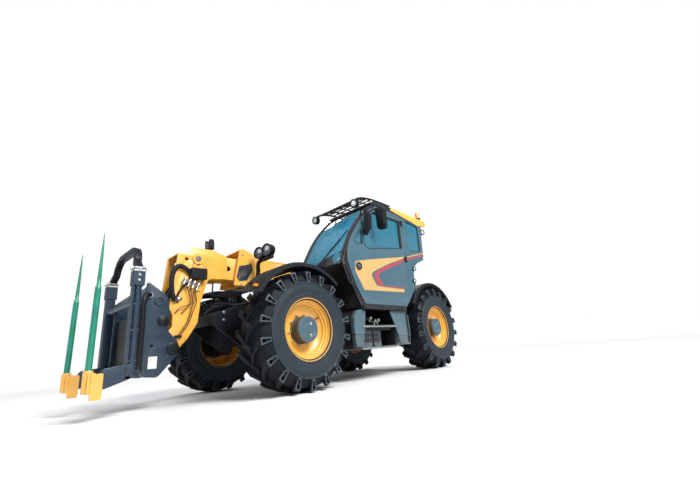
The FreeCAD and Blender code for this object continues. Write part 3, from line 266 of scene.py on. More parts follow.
# The tread's finish carries the painted shade, the sidewall's finish the painted light
TYRE = surface("tyre_tread_painted_shade", TREAD_RUBBER_PAINTED_SHADE, 0.62, grain=160.0, bump=0.12, dust=0.06, splash=-0.1, bevel=0.004,
               wear=0.9, worn=RUBBER_WEAR_AND_HIGHLIGHT, shine=0.2)
TYRE_SIDE = surface("tyre_side_painted_light", SIDE_RUBBER_PAINTED_LIGHT, 0.58, grain=120.0, bump=0.1, dust=0.08, splash=-0.1,
                    bevel=0.003, mottle=0.15, shine=0.25)
# The pale lines on the tyres are a painted highlight
TYRE_HIGHLIGHT_LINE = surface("tyre_line_painted_highlight", RUBBER_WEAR_AND_HIGHLIGHT, 0.6, grain=120.0, bump=0.1, dust=0.1, splash=-0.1, bevel=0.0)
# The hub's barrel side: dark brown as painted shade, tinted as a painted reflection of the yellow rim
HUB_BARREL_SHADE = surface("hub_barrel_painted_shade", (0.04, 0.034, 0.018), 0.5, grain=120.0, bump=0.15, dust=0.15, splash=0.1,
                   wear=0.2)
RUBBER_SEAL = surface("rubber_seal", (0.012, 0.012, 0.013), 0.7, grain=300.0, bump=0.08, dust=0.2, bevel=0.0)
HOSE = surface("black_hose", (0.005, 0.008, 0.013), 0.5, grain=260.0, bump=0.1, dust=0.08, bevel=0.0,
               shine=0.25)
RED_HOSE = surface("red_hose", (0.12, 0.025, 0.014), 0.5, grain=260.0, bump=0.08, dust=0.1, bevel=0.0)
CHROME = surface("chrome_rod", (0.72, 0.73, 0.75), 0.14, metallic=1.0, bump=0.01, dust=0.15, mottle=0.04)
STEEL_BOLT = surface("zinc_steel", (0.5, 0.51, 0.5), 0.34, metallic=0.9, bump=0.05, dust=0.25, bevel=0.002)
CAST = surface("cast_iron", (0.14, 0.145, 0.15), 0.6, metallic=0.4, grain=90.0, bump=0.25, dust=0.5)
GLASS = glass_sheet("teal_glass", (0.022, 0.17, 0.25), 0.38)
# A darker copy of the teal glass for the windscreen: painted shade for its shadowed front
SCREEN_GLASS_SHADED = glass_sheet("screen_glass_painted_shade", (0.004, 0.23, 0.38), 0.26)
MIRROR_GLASS = surface("mirror_glass", (0.7, 0.74, 0.78), 0.05, metallic=1.0, bump=0.0, dust=0.1, bevel=0.0,
                       mottle=0.02)
SEAT_CLOTH = surface("seat_cloth", (0.03, 0.032, 0.036), 0.85, grain=700.0, bump=0.3, dust=0.15)
STEP_PAINT = surface("step_slate", (0.04, 0.08, 0.1), 0.42, bump=0.03, dust=0.3, wear=0.25, coat=0.2,
                     mottle=0.08)
REFLECTOR = surface("lamp_reflector", (0.13, 0.16, 0.18), 0.2, metallic=0.8, bump=0.02, dust=0.1, splash=0.2,
                    bevel=0.0)
LENS = surface("lamp_lens", (0.6, 0.68, 0.68), 0.1, bump=0.02, dust=0.1, splash=0.2, coat=0.6, bevel=0.0)
DARK_LENS = surface("dark_lens", (0.05, 0.075, 0.085), 0.08, bump=0.02, dust=0.1, coat=0.8, bevel=0.0)
AMBER = surface("amber_lens", (0.75, 0.2, 0.015), 0.15, bump=0.02, dust=0.1, splash=0.2, coat=0.6, bevel=0.0)
RED_LENS = surface("red_lens", (0.45, 0.012, 0.01), 0.15, bump=0.02, dust=0.15, splash=0.2, coat=0.6,
                   bevel=0.0)
TINE_GREEN = surface("tine_green", (0.004, 0.2, 0.125), 0.38, bump=0.05, dust=0.06, wear=0.3, coat=0.2)
STRIPE_YELLOW = surface("stripe_yellow", (0.49, 0.31, 0.11), 0.4, bump=0.01, dust=0.1, bevel=0.0, mottle=0.03)
STRIPE_RED = surface("stripe_red", (0.37, 0.04, 0.065), 0.4, bump=0.01, dust=0.1, bevel=0.0, mottle=0.03)
TREAD = surface("step_tread", (0.3, 0.33, 0.34), 0.5, metallic=0.5, grain=160.0, bump=0.15, dust=0.3,
                wear=0.3)
# A lighter slate for the step riser: painted light, as if it were sunlit in its recess
RISER_SLATE_PAINTED_LIGHT = surface("riser_slate_painted_light", (0.13, 0.17, 0.19), 0.45, bump=0.03, dust=0.3, wear=0.2)
BARE_LABEL = surface("bare_label", (0.72, 0.72, 0.7), 0.5, bump=0.02, dust=0.2, bevel=0.0)

SLOT_FINISH = {"boom_paint": PAINT, "rim_paint": RIM_PAINT, "body_paint": PANEL_PAINT, "dark_paint": BLACK,
               "plastic": PLASTIC, "tyre": TYRE, "chrome": CHROME, "engine": CAST, "glass": GLASS,
               "seat_cloth": SEAT_CLOTH, "lamp": LENS, "tine_paint": TINE_GREEN}


def dress(name, finish):
    """Gives a CAD node its finish."""
    node = NODES[name]
    if not node.material_slots:
        node.data.materials.append(None)
    for place in node.material_slots:
        place.link = "OBJECT"
        place.material = finish


# Making meshes. The ways along the axes, and for a flat point the axes it lies along and the one across it
ACROSS = (1, 0, 0)
ALONG = (0, 1, 0)
UP = (0, 0, 1)
PLANES = {"x": (1, 2, 0), "y": (0, 2, 1), "z": (0, 1, 2)}


def lifted(point, plane, depth):
    """A flat point set in space: plane names the axis that depth runs along."""
    first, second, third = PLANES[plane]
    place = [0.0, 0.0, 0.0]
    place[first], place[second], place[third] = point[0], point[1], depth
    return Vector(place)


def smooth_line(points, steps):
    """A curve through points of any dimension, with a few steps between each two."""
    points = [Vector(p) for p in points]
    last = len(points) - 1
    line = []
    for i in range(last):
        a, b, c, d = (points[max(0, min(last, j))] for j in (i - 1, i, i + 1, i + 2))
        for k in range(steps):
            t = k / steps
            line.append(b + (c - a) * 0.5 * t + (a - b * 2.5 + c * 2.0 - d * 0.5) * t * t
                        + (b * 1.5 - a * 0.5 - c * 1.5 + d * 0.5) * t * t * t)
    return line + [points[-1]]


def rounded(points, radius, steps=5):
    """A closed flat outline with each corner rounded; radius is one size or one for each corner."""
    radii = radius if isinstance(radius, (list, tuple)) else [radius] * len(points)
    line = []
    for i, corner in enumerate(points):
        here = Vector(corner)
        back = Vector(points[i - 1]) - here
        ahead = Vector(points[(i + 1) % len(points)]) - here
        half = back.angle(ahead) / 2
        reach = min(radii[i] / max(math.tan(half), 0.05), back.length * 0.48, ahead.length * 0.48)
        start, end = here + back.normalized() * reach, here + ahead.normalized() * reach
        for k in range(steps + 1):
            t = k / steps
            line.append(tuple(start * (1 - t) ** 2 + here * 2 * t * (1 - t) + end * t * t))
    return line


def rect(a, b):
    """The corners of a rectangle between two places along each way."""
    return [(a[0], b[0]), (a[1], b[0]), (a[1], b[1]), (a[0], b[1])]


def scaled(outline, middle, across, up=None):
    """An outline made larger or smaller about a point, by one share or by one for each way."""
    up = across if up is None else up
    return [(middle[0] + (a - middle[0]) * across, middle[1] + (b - middle[1]) * up) for a, b in outline]


def sided(hand, near, far):
    """A span across the machine, on its left for a hand of 1 and on its right for -1."""
    return sorted((hand * near, hand * far))


def ring_points(centre, axis, radius, sides, start=None):
    """The points of a circle about an axis."""
    axis = Vector(axis).normalized()
    across = start or axis.orthogonal().normalized()
    up = axis.cross(across)
    turns = [2 * math.pi * i / sides for i in range(sides)]
    return [Vector(centre) + (across * math.cos(a) + up * math.sin(a)) * radius for a in turns]


class Shape:
    """A mesh in the making; each solid added takes the finish in use."""

    def __init__(self, finish):
        self.mesh = bmesh.new()
        self.finishes = [finish]
        self.current = 0

    def use(self, finish):
        """Sets the finish for what is added next."""
        if finish not in self.finishes:
            self.finishes.append(finish)
        self.current = self.finishes.index(finish)

    def skin(self, rings, caps=True, closed=False):
        """Joins rings of equal count in a row, and caps the two ends or closes the row on itself."""
        loops = [[self.mesh.verts.new(p) for p in ring] for ring in rings]
        pairs = list(zip(loops, loops[1:])) + ([(loops[-1], loops[0])] if closed else [])
        faces = []
        for near, far in pairs:
            for i in range(len(near)):
                j = (i + 1) % len(near)
                faces.append(self.mesh.faces.new((near[i], near[j], far[j], far[i])))
        if caps and not closed:
            faces += [self.mesh.faces.new(loops[0][::-1]), self.mesh.faces.new(loops[-1])]
        for face in faces:
            face.material_index = self.current
        return faces

    def plate(self, outline, plane, near, far):
        """A flat outline given thickness."""
        self.skin([[lifted(p, plane, depth) for p in outline] for depth in (near, far)])

    def box(self, x, y, z):
        """A block between two places along each axis."""
        self.plate(rect(x, y), "z", *z)

    def pad(self, x, y, z, round_by=0.008, plane="x"):
        """A block whose outline across one axis has rounded corners."""
        spans = {"x": x, "y": y, "z": z}
        first, second, third = (("x", "y", "z")[i] for i in PLANES[plane])
        self.plate(rounded(rect(spans[first], spans[second]), round_by), plane, *spans[third])

    def turned(self, profile, centre, axis, sides=36, ends=True):
        """A solid, or an open skin, from a profile of (along, radius) points turned about an axis."""
        axis = Vector(axis).normalized()
        across = axis.orthogonal().normalized()
        centre = Vector(centre)
        self.skin([ring_points(centre + axis * along, axis, max(radius, 0.0004), sides, across)
                   for along, radius in profile], caps=ends)

    def ring(self, profile, centre, axis, sides=36):
        """A ring whose section is a closed profile of (along, radius) points."""
        axis = Vector(axis).normalized()
        across = axis.orthogonal().normalized()
        up = axis.cross(across)
        centre = Vector(centre)
        rings = []
        for i in range(sides):
            a = 2 * math.pi * i / sides
            out = across * math.cos(a) + up * math.sin(a)
            rings.append([centre + axis * along + out * radius for along, radius in profile])
        self.skin(rings, closed=True)

    def round_bar(self, start, end, radius, sides=24):
        """A round bar with softened ends."""
        way = Vector(end) - Vector(start)
        edge = min(0.002, way.length / 3, radius / 2)
        self.turned([(0, radius - edge), (edge, radius), (way.length - edge, radius),
                     (way.length, radius - edge)], start, way, sides)

    def tube(self, points, radius, sides=12, closed=False, section=None):
        """A bar swept along a line, round or with a flat section of its own."""
        points = [Vector(p) for p in points]
        count = len(points)
        ways = []
        for i in range(count):
            near = points[i - 1] if closed or i else points[i]
            far = points[(i + 1) % count] if closed or i < count - 1 else points[i]
            ways.append((far - near).normalized())
        side = ways[0].orthogonal().normalized()
        if section and abs(ways[0].z) > 0.9:
            side = Vector(ACROSS)
        rings = []
        for point, way in zip(points, ways):
            side = (side - way * side.dot(way)).normalized()
            if section:
                up = way.cross(side)
                rings.append([point + side * a + up * b for a, b in section])
            else:
                rings.append(ring_points(point, way, radius, sides, side))
        self.skin(rings, closed=closed)

    def bent(self, points, steps, radius, sides=12, section=None):
        """A bar swept along a smooth curve through points, with a few steps between each two."""
        self.tube(smooth_line(points, steps), radius, sides, section=section)

    def bolt(self, place, way, size):
        """A hexagon bolt head on a washer."""
        way = Vector(way).normalized()
        place = Vector(place)
        self.turned([(0, size * 1.35), (size * 0.25, size * 1.35)], place, way, 16)
        self.turned([(size * 0.2, size), (size * 0.75, size), (size * 0.95, size * 0.8)], place, way, 6)

    def panel(self, outline, holes, plane, near, far, edge=0.003):
        """A flat sheet with openings and softened edges."""
        curve = bpy.data.curves.new("outline", "CURVE")
        curve.dimensions = "2D"
        curve.fill_mode = "BOTH"
        edge = min(edge, abs(far - near) / 2.2)
        curve.extrude = abs(far - near) / 2 - edge
        curve.bevel_depth = edge
        curve.bevel_resolution = 1
        curve.offset = -edge
        for points in [outline] + holes:
            line = curve.splines.new("POLY")
            line.points.add(len(points) - 1)
            for spot, (a, b) in zip(line.points, points):
                spot.co = (a, b, 0, 1)
            line.use_cyclic_u = True
        holder = bpy.data.objects.new("outline", curve)
        bpy.context.scene.collection.objects.link(holder)
        mesh = bpy.data.meshes.new_from_object(holder.evaluated_get(bpy.context.evaluated_depsgraph_get()))
        middle = (near + far) / 2
        for vertex in mesh.vertices:
            vertex.co = lifted(vertex.co[:2], plane, middle + vertex.co.z)
        for face in mesh.polygons:
            face.material_index = self.current
        self.mesh.from_mesh(mesh)
        bpy.data.objects.remove(holder)
        bpy.data.curves.remove(curve)
        bpy.data.meshes.remove(mesh)

    def mirror(self):
        """Adds a copy of everything on the other side of the machine's middle."""
        copied = bmesh.ops.duplicate(self.mesh,
                                     geom=self.mesh.verts[:] + self.mesh.edges[:] + self.mesh.faces[:])
        moved = [item for item in copied["geom"] if isinstance(item, bmesh.types.BMVert)]
        for vertex in moved:
            vertex.co.x = -vertex.co.x
        bmesh.ops.reverse_faces(self.mesh,
                                faces=[f for f in copied["geom"] if isinstance(f, bmesh.types.BMFace)])

    def flip(self):
        """Turns everything over to the other side of the machine's middle."""
        for vertex in self.mesh.verts:
            vertex.co.x = -vertex.co.x

    def piece(self, name, body, replaces=(), place=(0, 0, 0), smooth=32):
        """Ends the mesh as a piece that moves with a body and stands for some of the frame's nodes."""
        bmesh.ops.remove_doubles(self.mesh, verts=self.mesh.verts, dist=0.00002)
        bmesh.ops.recalc_face_normals(self.mesh, faces=self.mesh.faces)
        mesh = bpy.data.meshes.new(name)
        self.mesh.to_mesh(mesh)
        self.mesh.free()
        for finish in self.finishes:
            mesh.materials.append(finish)
        mesh.shade_smooth()
        mesh.set_sharp_from_angle(angle=math.radians(smooth))
        made = bpy.data.objects.new(name, mesh)
        made.location = place
        bpy.context.scene.collection.objects.link(made)
        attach(made, body)
        if replaces:
            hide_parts(*replaces)
        return made


# Wheels
AXLE_HEIGHT = 0.628
TYRE_RADIUS = 0.628
FRONT_AXLE_Y = -0.875
REAR_AXLE_Y = 1.875
WHEEL_X = 0.91
WHEEL_PLACES = {"front_left": (WHEEL_X, FRONT_AXLE_Y), "front_right": (-WHEEL_X, FRONT_AXLE_Y),
                "rear_left": (WHEEL_X, REAR_AXLE_Y), "rear_right": (-WHEEL_X, REAR_AXLE_Y)}
LUGS = 18
DISC_X = 0.0603
HUB_X = DISC_X + 0.128
HUB_RADIUS = 0.137
BOLT_CIRCLE = 0.165


def tyre_arc(x, along, radius):
    """A point over the tyre: across it, along its tread and out from the axle."""
    turn = along / TYRE_RADIUS
    return Vector((x, -radius * math.sin(turn), radius * math.cos(turn)))


def lug_rings(start, hand):
    """The sections of one lug from the sidewall over the shoulder to past the tread's middle."""
    # Each row is across, out from the axle, how deep the pocket is there, and how far the foot is sunk below.
    shoulder = [(0.224, 0.498, 0.0, 0.03), (0.231, 0.506, 0.0, 0.03), (0.231, 0.514, 0.0, 0.03),
                (0.2305, 0.518, 0.034, 0.03), (0.2235, 0.6, 0.036, 0.04), (0.2225, 0.605, 0.0, 0.04),
                (0.215, 0.6165, 0.0, 0.05)]
    rings = []
    for x, out, pocket, sunk in shoulder:
        rings.append((x, out, 0.0, 0.022 + 0.014 * (out - 0.498) / 0.12, pocket, sunk))
    for k in range(1, 9):
        u = k / 8
        x = 0.21 - 0.226 * u
        out = TYRE_RADIUS - 0.0115 * (x / 0.21) ** 2
        rings.append((x, out, 0.196 * (0.45 * u + 0.55 * u * u), 0.035 - 0.013 * u, 0.0, 0.052))
    for x, out, along, half, pocket, sunk in rings:
        foot = half + 0.01
        inward = 0.035 if out < 0.6 else 0.0
        ring = []
        for offset, drop, sink_x in ((-foot, sunk, inward), (-half, 0.0, 0.0), (-half * 0.58, 0.0, 0.0),
                                     (-half * 0.52, pocket * 0.3, pocket),
                                     (half * 0.52, pocket * 0.3, pocket), (half * 0.58, 0.0, 0.0),
                                     (half, 0.0, 0.0), (foot, sunk, inward)):
            point = tyre_arc(x - sink_x, start + along + offset, out - drop)
            ring.append(Vector((point.x * hand, point.y, point.z)))
        yield ring


def make_tyre_mesh(hand):
    """A tractor tyre with chevron lugs, pockets in their shoulder ends and rings round the sidewall."""
    shape = Shape(TYRE)
    wall = [(0.196, 0.3055), (0.206, 0.312), (0.212, 0.328), (0.216, 0.338), (0.2165, 0.345), (0.214, 0.35),
            (0.2185, 0.368), (0.2185, 0.374), (0.2165, 0.377), (0.2225, 0.395), (0.2265, 0.42),
            (0.228, 0.442), (0.2275, 0.462), (0.2245, 0.466), (0.2245, 0.47), (0.227, 0.474), (0.226, 0.48),
            (0.23, 0.484), (0.2305, 0.491), (0.2225, 0.496)]
    crown = [(0.2225, 0.496), (0.213, 0.515), (0.201, 0.545), (0.186, 0.57), (0.155, 0.5815), (0.085, 0.587)]
    shape.turned(crown + [(0.0, 0.589)] + [(-x, r) for x, r in reversed(crown)], (0, 0, 0), ACROSS, 90,
                 ends=False)
    shape.use(TYRE_SIDE)
    for side in (1, -1):
        shape.turned([(side * x, r) for x, r in wall], (0, 0, 0), ACROSS, 90, ends=False)
    shape.turned([(-0.196, 0.3055), (-0.15, 0.315), (0.15, 0.315), (0.196, 0.3055)], (0, 0, 0), ACROSS, 60,
                 ends=False)
    # The thin rings round each sidewall are painted paler, a painted highlight on their ridges
    shape.use(TYRE_HIGHLIGHT_LINE)
    for side in (1, -1):
        for out, radius, size in ((0.2312, 0.4915, 0.0022), (0.2195, 0.371, 0.0016)):
            shape.tube([(side * out, radius * math.sin(0.07 * i), radius * math.cos(0.07 * i))
                        for i in range(90)], size, 6, closed=True)
    shape.use(TYRE)
    pitch = 2 * math.pi * TYRE_RADIUS / LUGS
    lugs = []
    for i in range(LUGS):
        lugs += [shape.skin(list(lug_rings(i * pitch, 1))),
                 shape.skin(list(lug_rings((i + 0.5) * pitch, -1)))]
    # The rubber round each shoulder pocket is painted paler, a painted highlight on the pocket's rims
    shape.use(TYRE_HIGHLIGHT_LINE)
    for faces in lugs:
        for k, face in enumerate(faces[:48]):
            row, place = divmod(k, 8)
            if place in (1, 5) or (place == 3 and row in (0, 1, 4, 5)):
                face.material_index = shape.current
    if hand < 0:
        shape.flip()
    return shape


def make_rim_mesh(hand):
    """A deep yellow rim with stepped walls, a dished disc, wheel nuts, a valve and the slate hub."""
    shape = Shape(RIM_PAINT)
    outer = [(0.207, 0.331), (0.212, 0.328), (0.212, 0.322), (0.204, 0.317), (0.186, 0.3145), (0.182, 0.302),
             (0.158, 0.2995), (0.153, 0.286), (0.13, 0.283), (0.124, 0.27), (0.1, 0.266), (0.082, 0.25),
             (0.066, 0.222), (0.0605, 0.208), (0.0605, 0.12)]
    back = [(0.0468, 0.12), (0.0468, 0.212), (0.06, 0.236), (0.075, 0.262), (0.08, 0.285), (-0.18, 0.294),
            (-0.21, 0.322), (-0.212, 0.331), (-0.205, 0.332), (-0.196, 0.3049), (0.196, 0.3049)]
    shape.ring(outer + back, (0, 0, 0), ACROSS, 80)
    nuts = 10
    for i in range(nuts):
        turn = 2 * math.pi * (i + 0.35) / nuts
        spot = Vector((DISC_X, BOLT_CIRCLE * math.sin(turn), BOLT_CIRCLE * math.cos(turn)))
        shape.turned([(0, 0.023), (0.005, 0.023), (0.008, 0.019)], spot, ACROSS, 20)
        shape.use(STEEL_BOLT)
        shape.turned([(0.004, 0.0145), (0.02, 0.0145), (0.024, 0.011)], spot, ACROSS, 6)
        shape.turned([(0.02, 0.007), (0.034, 0.007), (0.036, 0.005)], spot, ACROSS, 12)
        shape.use(RIM_PAINT)
    # The valve
    shape.use(BLACK)
    shape.round_bar((0.07, 0.2, 0.118), (0.118, 0.214, 0.127), 0.006, 12)
    face = HUB_X
    # The hub's barrel side takes the dark brown of painted shade
    shape.use(HUB_BARREL_SHADE)
    shape.turned([(DISC_X - 0.002, 0.146), (DISC_X + 0.012, 0.146), (DISC_X + 0.016, HUB_RADIUS - 0.004),
                  (face - 0.03, HUB_RADIUS - 0.004), (face - 0.028, HUB_RADIUS)], (0, 0, 0), ACROSS, 64)
    shape.use(HUB_PAINT)
    shape.turned([(face - 0.028, HUB_RADIUS), (face - 0.01, HUB_RADIUS), (face - 0.002, HUB_RADIUS - 0.004),
                  (face, HUB_RADIUS - 0.01), (face, 0.092), (face - 0.003, 0.088), (face - 0.003, 0.052),
                  (face + 0.003, 0.047), (face + 0.004, 0.04)], (0, 0, 0), ACROSS, 64)
    for i in range(12):
        turn = 2 * math.pi * i / 12
        shape.bolt((face - 0.001, 0.105 * math.sin(turn), 0.105 * math.cos(turn)), ACROSS, 0.0075)
    for turn in (0.6, 2.7):
        shape.use(STEEL_BOLT)
        shape.bolt((face - 0.004, 0.068 * math.sin(turn), 0.068 * math.cos(turn)), ACROSS, 0.011)
    if hand < 0:
        shape.flip()
    return shape


def make_wheels():
    """The four wheels, each a tyre and a rim in place of the plain ones."""
    for name, (x, y) in WHEEL_PLACES.items():
        hand = 1 if x > 0 else -1
        place = (x, y, AXLE_HEIGHT)
        make_tyre_mesh(hand).piece(name + "_lugged_tyre", name + "_wheel", [name + "_tyre"], place, smooth=38)
        make_rim_mesh(hand).piece(name + "_dished_rim", name + "_wheel", [name + "_rim"], place)


# Cab
CAB_LEFT = 1.085
CAB_RIGHT = 0.24
SCREEN_EDGE = 0.055
DOOR_OUTLINE = [(0.12, 0.936), (0.998, 0.936), (1.114, 1.09), (1.184, 1.59), (1.194, 2.354), (0.472, 2.354),
                (0.33, 2.235), (0.205, 2.116), (0.06, 1.938), (-0.054, 1.766), (-0.12, 1.6), (-0.124, 1.462),
                (-0.006, 1.18)]
DOOR_PANE = [(0.317, 1.709), (1.147, 1.851), (1.16, 2.31), (0.482, 2.31), (0.355, 2.2), (0.24, 2.08),
             (0.14, 1.965), (0.06, 1.86), (0.02, 1.76)]
QUARTER_PANE = [(1.326, 1.821), (1.7, 1.88), (1.72, 2.33), (1.33, 2.36)]
RIGHT_PANE = [(0.06, 1.5), (1.4, 1.7), (1.65, 1.88), (1.65, 2.33), (0.48, 2.33), (0.06, 1.9)]
CAB_OUTLINE = [(0.06, 0.87), (1.01, 0.87), (1.169, 1.037), (1.3, 1.279), (1.381, 1.561), (1.499, 1.677),
               (1.784, 1.802), (1.83, 2.33), (1.9, 2.42), (0.462, 2.42), (0.345, 2.335), (0.189, 2.173),
               (0.027, 1.974), (-0.085, 1.796), (-0.183, 1.615), (-0.23, 1.45), (-0.11, 1.18)]
CORNER_SKIN = [(0.56, 2.412), (0.49, 2.362), (1.2, 2.362), (1.19, 1.59), (1.12, 1.085), (1.012, 0.925),
               (1.012, 0.874), (1.167, 1.008), (1.422, 1.29), (1.398, 1.449), (1.445, 1.585), (1.545, 1.655),
               (1.765, 1.742), (1.786, 1.868), (1.826, 2.33), (1.89, 2.412)]
SCREEN_LINE = [(-0.215, 1.45), (-0.176, 1.602), (-0.08, 1.782), (0.032, 1.962), (0.193, 2.162), (0.368, 2.33)]
DOOR_SKIN = CAB_LEFT + 0.007
DOOR_LAP = 0.034
MAIN_PANE = [(0.292, 1.706), (1.143, 1.845), (1.158, 2.308), (0.484, 2.308), (0.372, 2.212), (0.268, 2.1),
             (0.212, 2.03), (0.205, 1.762)]
SMALL_PANE = [(0.03, 1.748), (0.168, 1.757), (0.17, 1.985), (0.12, 1.932), (0.062, 1.862), (0.018, 1.79)]
YELLOW_STRIPE = [(-0.01, 1.49), (0.444, 1.58), (1.186, 1.716), (1.186, 1.697), (0.721, 1.542),
                 (0.352, 1.389), (0.31, 1.35), (0.309, 1.318), (0.388, 1.204), (0.412, 1.192),
                 (0.549, 1.187), (1.062, 1.191), (1.051, 1.143), (0.118, 1.117), (-0.03, 1.355)]
RED_STRIPE = [(1.186, 1.681), (0.717, 1.523), (0.451, 1.412), (0.378, 1.365), (0.368, 1.326), (0.424, 1.214),
              (0.452, 1.203), (1.063, 1.199), (1.065, 1.213), (0.562, 1.213), (0.527, 1.222), (0.454, 1.341),
              (0.468, 1.371), (0.583, 1.424), (1.186, 1.652)]
YELLOW_TAIL = [(1.203, 1.718), (1.776, 1.866), (1.778, 1.852), (1.203, 1.7)]
RED_TAIL = [(1.203, 1.684), (1.78, 1.842), (1.772, 1.814), (1.203, 1.657)]


def curved_outline(points, first, last, steps=5):
    """An outline whose points from first to last lie on a smooth curve, the rest being plain corners."""
    run = [tuple(p) for p in smooth_line(points[first:last + 1], steps)]
    return points[:first] + run + points[last + 1:]


def shrunk(points, by):
    """An outline moved inwards all round; its points run anticlockwise."""
    line = []
    for i, point in enumerate(points):
        here = Vector(point)
        before = (here - Vector(points[i - 1])).normalized()
        after = (Vector(points[(i + 1) % len(points)]) - here).normalized()
        inward = (Vector((-before.y, before.x)) + Vector((-after.y, after.x)))
        reach = inward.length / 2
        line.append(tuple(here + inward.normalized() * by / max(reach, 0.4)))
    return line


def make_cab_shell():
    """The black cab: two pierced sides, floor, rear wall, front cowl, pillars and roof rails."""
    outline = curved_outline(CAB_OUTLINE, 9, 15)
    door_hole = shrunk(curved_outline(DOOR_OUTLINE, 5, 11), -0.006)
    shape = Shape(GLOSS_BLACK)
    shape.panel(outline, [door_hole, rounded(QUARTER_PANE, 0.03)], "x", CAB_LEFT - 0.042, CAB_LEFT, 0.006)
    shape.panel(outline, [rounded(RIGHT_PANE, 0.04)], "x", CAB_RIGHT, CAB_RIGHT + 0.042, 0.006)
    inside = (CAB_RIGHT + 0.02, CAB_LEFT - 0.02)
    shape.box(inside, (0.062, 1.01), (0.872, 0.91))
    # The glossy sill under the door, and the slate skin of the rear corner and roof rail
    shape.pad((CAB_LEFT - 0.06, CAB_LEFT + 0.026), (0.05, 1.03), (0.868, 0.932), 0.024, "x")
    shape.use(PANEL_PAINT)
    shape.panel(rounded(CORNER_SKIN, 0.012), [rounded(QUARTER_PANE, 0.03)], "x", CAB_LEFT - 0.03,
                CAB_LEFT + 0.003, 0.003)
    shape.use(GLOSS_BLACK)
    shape.box(inside, (0.47, 1.9), (2.378, 2.418))
    shape.panel(rect(inside, (1.81, 2.4)),
                [rounded(rect((0.31, 1.015), (1.87, 2.31)), 0.04)], "y", 1.785, 1.825)
    arch = [(1.01, 0.872), (1.169, 1.039), (1.3, 1.281), (1.381, 1.563), (1.499, 1.679), (1.784, 1.804)]
    inner = [(a - 0.036, b + 0.02) for a, b in arch]
    shape.plate(arch + inner[::-1], "x", *inside)
    # The cowl under the windscreen, rounded across, and the frame round the glass
    nose = smooth_line([(0.062, 0.875), (-0.1, 1.18), (-0.222, 1.445)], 6)
    shape.plate([(y, z) for y, z in nose] + [(y + 0.03, z + 0.01) for y, z in reversed(nose)], "x", *inside)
    rail = smooth_line(SCREEN_LINE, 5)
    for x in (CAB_RIGHT + 0.028, CAB_LEFT - 0.028):
        shape.tube([(x, y + 0.012, z - 0.006) for y, z in rail], 0.027, 12)
    shape.tube([(CAB_RIGHT + 0.02, -0.196, 1.462), (CAB_LEFT - 0.02, -0.196, 1.462)], 0.02, 12)
    shape.tube([(CAB_RIGHT + 0.02, 0.385, 2.345), (CAB_LEFT - 0.02, 0.385, 2.345)], 0.024, 12)
    shape.piece("cab_shell", "chassis", ["cab_frame"])


def make_hinges():
    """The lugs and pins on which the door turns, on the cab, and the leaves on the door."""
    for name, body, spans in (("cab_hinge_lugs", "chassis", ((0.0, 0.018), (0.062, 0.08))),
                              ("door_hinge_leaves", "door", ((0.0183, 0.0617),))):
        shape = Shape(BLACK)
        for low in (1.64, 2.24):
            for start, end in spans:
                shape.round_bar((1.101, 1.197, low + start), (1.101, 1.197, low + end), 0.012, 20)
                reach = (1.2, 1.237) if body == "chassis" else (1.157, 1.194)
                shape.box((CAB_LEFT - 0.002, 1.106), reach, (low + start, low + end))
                shape.bolt((1.106, sum(reach) / 2, low + (start + end) / 2), ACROSS, 0.005)
        shape.piece(name, body)


